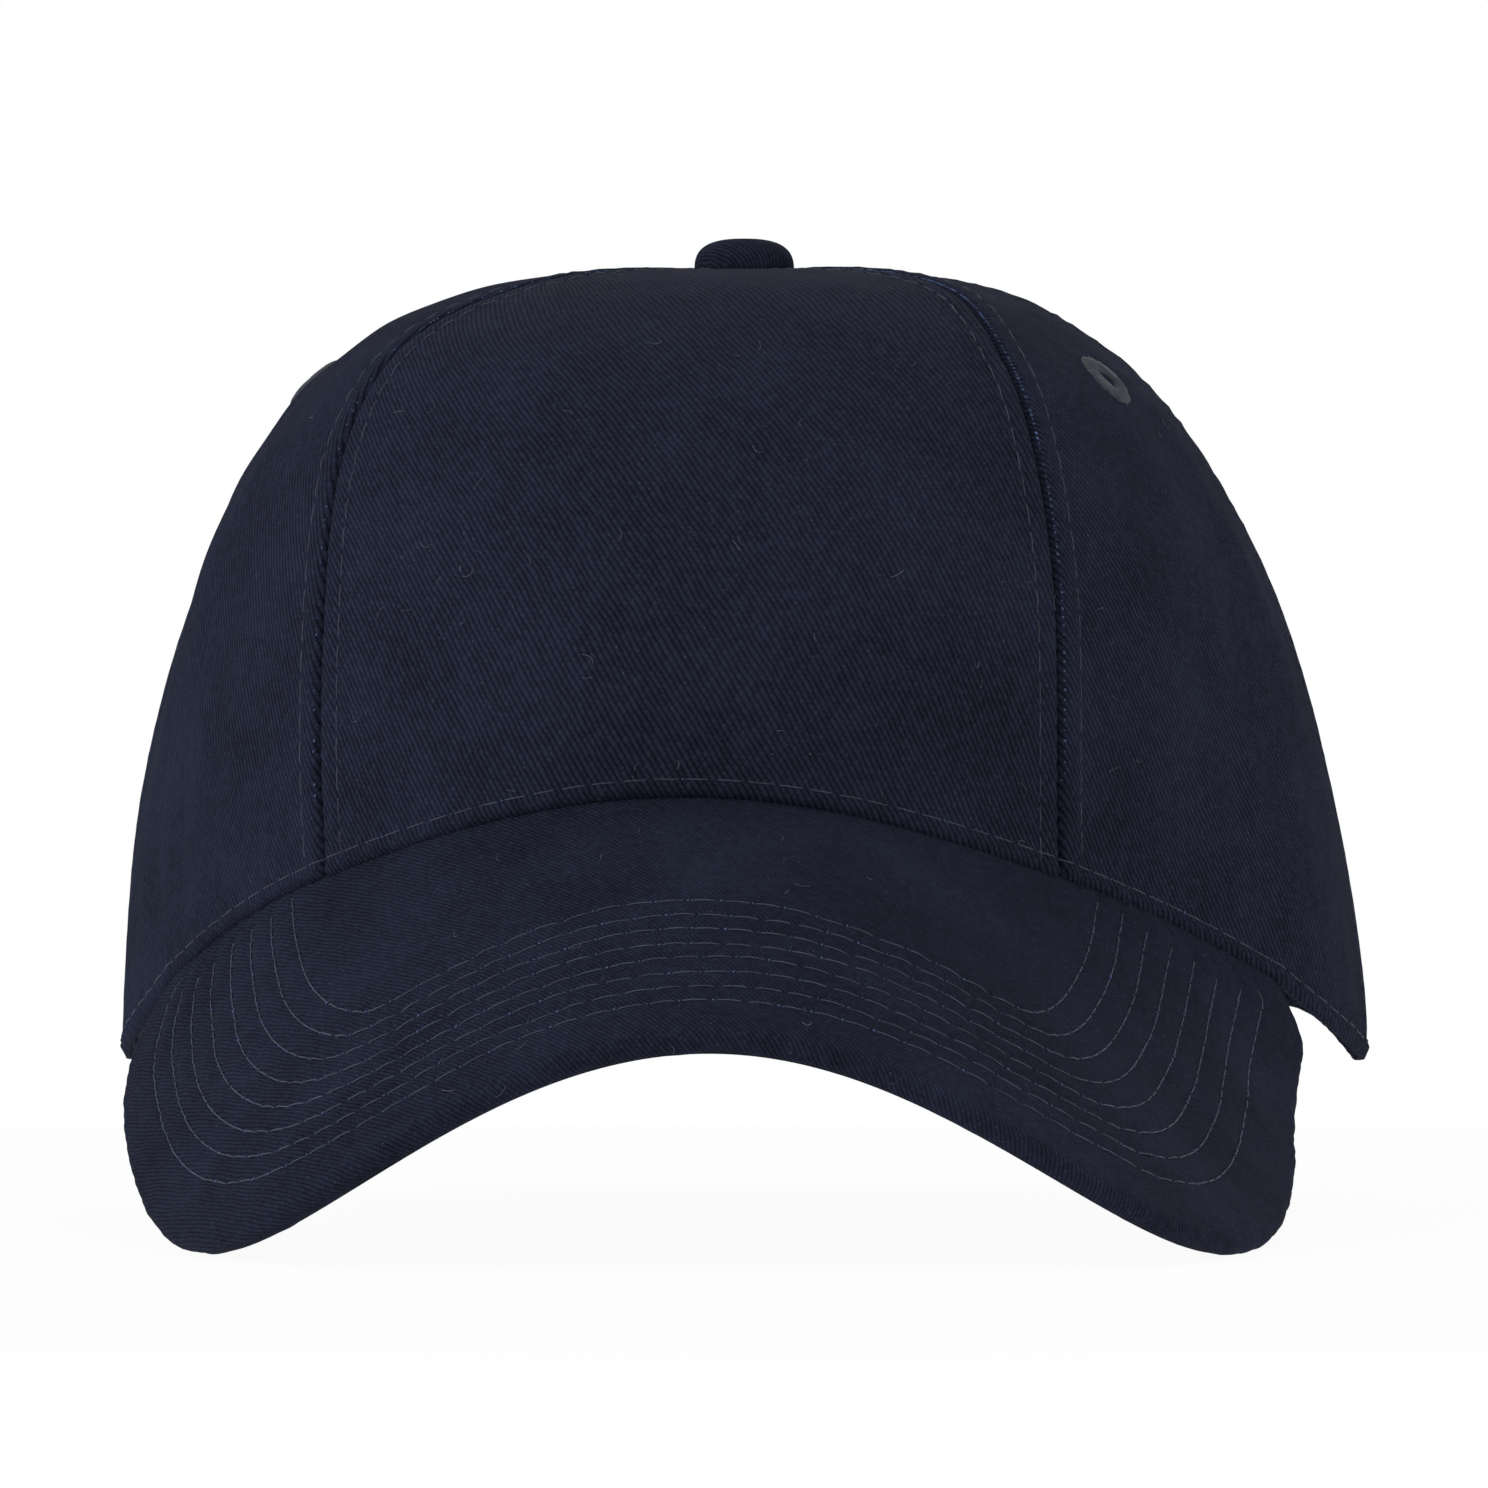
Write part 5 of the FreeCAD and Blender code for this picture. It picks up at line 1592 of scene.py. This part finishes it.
def clasp_places(local):
    """Places in the cap's frame from places in the clasp's own frame: along the strap, outwards, up."""
    lean = math.atan2(STRAP_LOW_RADIUS - STRAP_HIGH_RADIUS, STRAP_WIDTH)
    spin = Matrix.Rotation(math.radians(CLASP_TURN), 3, "Z")
    turned = np.array(spin @ Matrix.Rotation(lean, 3, "X"))
    radius = (STRAP_LOW_RADIUS + STRAP_HIGH_RADIUS - STRAP_THICKNESS) / 2
    middle = STRAP_AXIS + np.array(spin @ Vector((0, radius, STRAP_LOW + STRAP_WIDTH / 2)))
    return local @ turned.T + middle


def clasp_loop():
    """The cloth loop that holds the clasp's bar, its two plies sewn flat together."""
    arc = np.linspace(-math.pi / 2, math.pi / 2, 17)
    tail = np.linspace(-LOOP_LENGTH, -1.2, 22)
    closing = 0.17 + (LOOP_RING - 0.17) * smooth(tail, -5.5, -0.2) ** 1.2
    middle = np.concatenate([
        np.stack([tail, -closing], axis=1),
        np.stack([LOOP_RING * np.cos(arc), LOOP_RING * np.sin(arc)], axis=1),
        np.stack([tail, closing], axis=1)[::-1],
    ])
    ahead = unit(np.gradient(middle, axis=0))
    normal = np.stack([ahead[:, 1], -ahead[:, 0]], axis=1)
    thick = 0.15 + 0.13 * smooth(middle[:, 0], -6.5, -1.0)
    level = np.linspace(-LOOP_HALF_HEIGHT, LOOP_HALF_HEIGHT, 27)
    soft = roll(LOOP_HALF_HEIGHT - np.abs(level), 0.6, 0.1)
    tilt = math.radians(LOOP_TILT)

    def grid(side):
        width = (thick[:, None] + soft[None, :]) * side
        flat = middle[:, None, :] + normal[:, None, :] * width[..., None]
        along_strap = flat[..., 0] * math.cos(tilt) - flat[..., 1] * math.sin(tilt)
        outwards = flat[..., 0] * math.sin(tilt) + flat[..., 1] * math.cos(tilt)
        local = np.stack([along_strap, outwards, level[None, :] + 0.0 * along_strap], axis=-1)
        return clasp_places(local + CLASP_BAR)

    face = grid(1.0)
    back = grid(-1.0)
    item = shell("clasp_loop_cloth", face, back, cloth_uv(face))
    fit(item, "clasp_loop", TWILL_STRAP)
    tree = tree_of(item)
    runs = []
    out = clasp_places(np.array([[0.0, 1.0, 0.0]]))[0] - clasp_places(np.zeros((1, 3)))[0]
    spots = np.linspace(1.2 - LOOP_HALF_HEIGHT, LOOP_HALF_HEIGHT - 1.2, 30)
    for place in (-4.6, -7.6):
        along_strap = np.full(30, place * math.cos(tilt))
        outwards = np.full(30, place * math.sin(tilt))
        local = np.stack([along_strap, outwards, spots], axis=-1)
        normal = np.tile(unit(out), (30, 1))
        runs.append((drape(tree, clasp_places(local + CLASP_BAR), normal, 2.5), normal))
    stitches, _ = sew("clasp_loop_stitches", runs, "crown", pitch=3.0, length=2.5)
    paint(stitches, THREAD_NAVY)


def lint_fibres():
    """A few loose fibres caught on the cloth."""
    source = np.random.default_rng(SEED + 77)
    tree = tree_of(*PANELS, TOP_COVER)
    vertices = []
    faces = []
    sides = FIBRE_SIDES
    for _ in range(FIBRES):
        angle = source.uniform(-1.5, 1.5)
        start = np.array([math.sin(angle) * 60.0, -math.cos(angle) * 200.0, source.uniform(-10, 100)])
        inward = unit(np.array([-start[0] * 0.6, -start[1] + 20.0, 0.0]) + source.normal(size=3) * 3.0)
        hit, normal, _, _ = tree.ray_cast(Vector(start * MM), Vector(inward))
        if hit is None:
            continue
        place = np.array(hit) / MM
        facing = np.array(normal)
        if facing @ inward > 0:
            facing = -facing
        ahead = unit(np.cross(facing, source.normal(size=3)))
        side = np.cross(facing, ahead)
        length = source.uniform(0.7, 2.6)
        curl = source.uniform(-1.2, 1.2)
        width = source.uniform(0.018, 0.04)
        first = len(vertices)
        for k in range(FIBRE_STEPS):
            share = k / (FIBRE_STEPS - 1) - 0.5
            bend = curl * (share**2) * length
            lifted = 0.05 + 0.22 * (share * 2) ** 2 * source.uniform(0.7, 1.0)
            middle = place + ahead * share * length + side * bend + facing * lifted
            for j in range(sides):
                turn = 2 * math.pi * j / sides
                vertices.append(middle + width * (math.cos(turn) * side + math.sin(turn) * facing))
        for k in range(FIBRE_STEPS - 1):
            for j in range(sides):
                a = first + k * sides + j
                b = first + k * sides + (j + 1) % sides
                faces.append((a, b, b + sides, a + sides))
        faces.append(tuple(first + j for j in reversed(range(sides))))
        faces.append(tuple(first + (FIBRE_STEPS - 1) * sides + j for j in range(sides)))
    item = make_mesh("loose_fibres", np.array(vertices), faces)
    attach(item, "crown")
    paint(item, LINT)


front_buckram()
seam_tapes()
seam_allowances()
sweatband()
size_label()
rear_binding()
eyelets()
button()
strap()
clasp_loop()
for clasp_node in ("clasp_frame", "clasp_lever", "clasp_pin"):
    refinish(clasp_node, METAL)
lint_fibres()


# ---------------------------------------------------------------- stage


def floor_paper():
    """White paper under the cap that fades to plain white light away from it."""
    n = Nodes("floor_paper")
    place = n.add("ShaderNodeTexCoord").outputs["Object"]
    reach = n.add("ShaderNodeVectorMath", operation="LENGTH")
    n.join(place, reach.inputs[0])
    grain = n.noise(place, 900.0, 2.0)
    paper = n.add("ShaderNodeBsdfDiffuse")
    n.join(n.mix(grain, (0.95, 0.95, 0.95, 1), (0.99, 0.99, 0.99, 1)), paper.inputs["Color"])
    glow = n.add("ShaderNodeEmission")
    seen = n.add("ShaderNodeLightPath").outputs["Is Camera Ray"]
    n.join(n.math("MULTIPLY_ADD", seen, 1.0 - FLOOR_LIGHT, FLOOR_LIGHT), glow.inputs["Strength"])
    blend = n.add("ShaderNodeMixShader")
    fade = n.ramp(reach.outputs["Value"], 0.1, 0.36)
    n.join(n.math("MAXIMUM", fade, FLOOR_WHITENESS), blend.inputs[0])
    n.join(paper.outputs[0], blend.inputs[1])
    n.join(glow.outputs[0], blend.inputs[2])
    one_sided = n.add("ShaderNodeMixShader")
    n.join(n.add("ShaderNodeNewGeometry").outputs["Backfacing"], one_sided.inputs[0])
    n.join(blend.outputs[0], one_sided.inputs[1])
    n.join(n.add("ShaderNodeBsdfTransparent").outputs[0], one_sided.inputs[2])
    output = n.add("ShaderNodeOutputMaterial")
    n.join(one_sided.outputs[0], output.inputs["Surface"])
    return n.material


def stage():
    """A white floor under the cap, a white world seen behind it, soft lights and the camera."""
    scene = bpy.context.scene
    world = bpy.data.worlds.new("studio")
    scene.world = world
    world.use_nodes = True
    tree = world.node_tree
    tree.nodes.clear()
    path = tree.nodes.new("ShaderNodeLightPath")
    seen = tree.nodes.new("ShaderNodeBackground")
    seen.inputs[0].default_value = (1, 1, 1, 1)
    seen.inputs[1].default_value = 1.0
    fill = tree.nodes.new("ShaderNodeBackground")
    fill.inputs[0].default_value = (0.92, 0.96, 1.0, 1)
    fill.inputs[1].default_value = WORLD_FILL
    blend = tree.nodes.new("ShaderNodeMixShader")
    output = tree.nodes.new("ShaderNodeOutputWorld")
    tree.links.new(path.outputs["Is Camera Ray"], blend.inputs[0])
    tree.links.new(fill.outputs[0], blend.inputs[1])
    tree.links.new(seen.outputs[0], blend.inputs[2])
    tree.links.new(blend.outputs[0], output.inputs[0])

    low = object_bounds()[0][2]
    corners = np.array([[-1, -1, 0], [1, -1, 0], [1, 1, 0], [-1, 1, 0]]) * FLOOR_REACH
    floor = make_mesh("floor", corners, [(0, 1, 2, 3)])
    floor.location.z = low - 0.0005
    floor.data.materials.append(floor_paper())
    floor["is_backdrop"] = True

    def light(name, place, aim, power, width, color=(1, 1, 1)):
        data = bpy.data.lights.new(name, "AREA")
        data.energy = power
        data.size = width
        data.color = color
        item = bpy.data.objects.new(name, data)
        scene.collection.objects.link(item)
        item.location = place
        item.rotation_euler = (Vector(aim) - Vector(place)).to_track_quat("-Z", "Y").to_euler()

    light("key_left", (-1.1, -0.9, 0.75), (0, 0, 0.05), 8, 0.7, (0.94, 0.97, 1.0))
    light("side_left", (-1.5, -0.25, 0.3), (0, 0, 0.05), 8, 0.8, (0.94, 0.97, 1.0))
    light("side_right", (1.5, -0.25, 0.25), (0, 0, 0.05), 5, 0.8)
    light("front", (-0.1, -1.9, 0.3), (0, 0, 0.03), 4, 0.9)
    light("top", (0.15, 0.1, 1.3), (0, 0, 0.05), 3.5, 0.8)
    light("fill_right", (1.2, -0.7, 0.5), (0, 0, 0.04), 2.6, 0.7, (1.0, 0.98, 0.94))
    light("back", (0.2, 1.3, 0.8), (0, 0, 0.05), 3.5, 0.9)
    scene.view_settings.view_transform = "Standard"

    camera = bpy.data.objects.new("camera", bpy.data.cameras.new("camera"))
    scene.collection.objects.link(camera)
    aim = Vector(CAMERA_AIM)
    away = Vector((math.sin(CAMERA_TURN), -math.cos(CAMERA_TURN), 0.0))
    camera.location = aim + away * CAMERA_DISTANCE
    camera.rotation_euler = (aim - camera.location).to_track_quat("-Z", "Y").to_euler()
    camera.data.sensor_width = SENSOR_WIDTH
    camera.data.lens = SENSOR_WIDTH * CAMERA_DISTANCE / FIELD_WIDTH
    scene.camera = camera


stage()
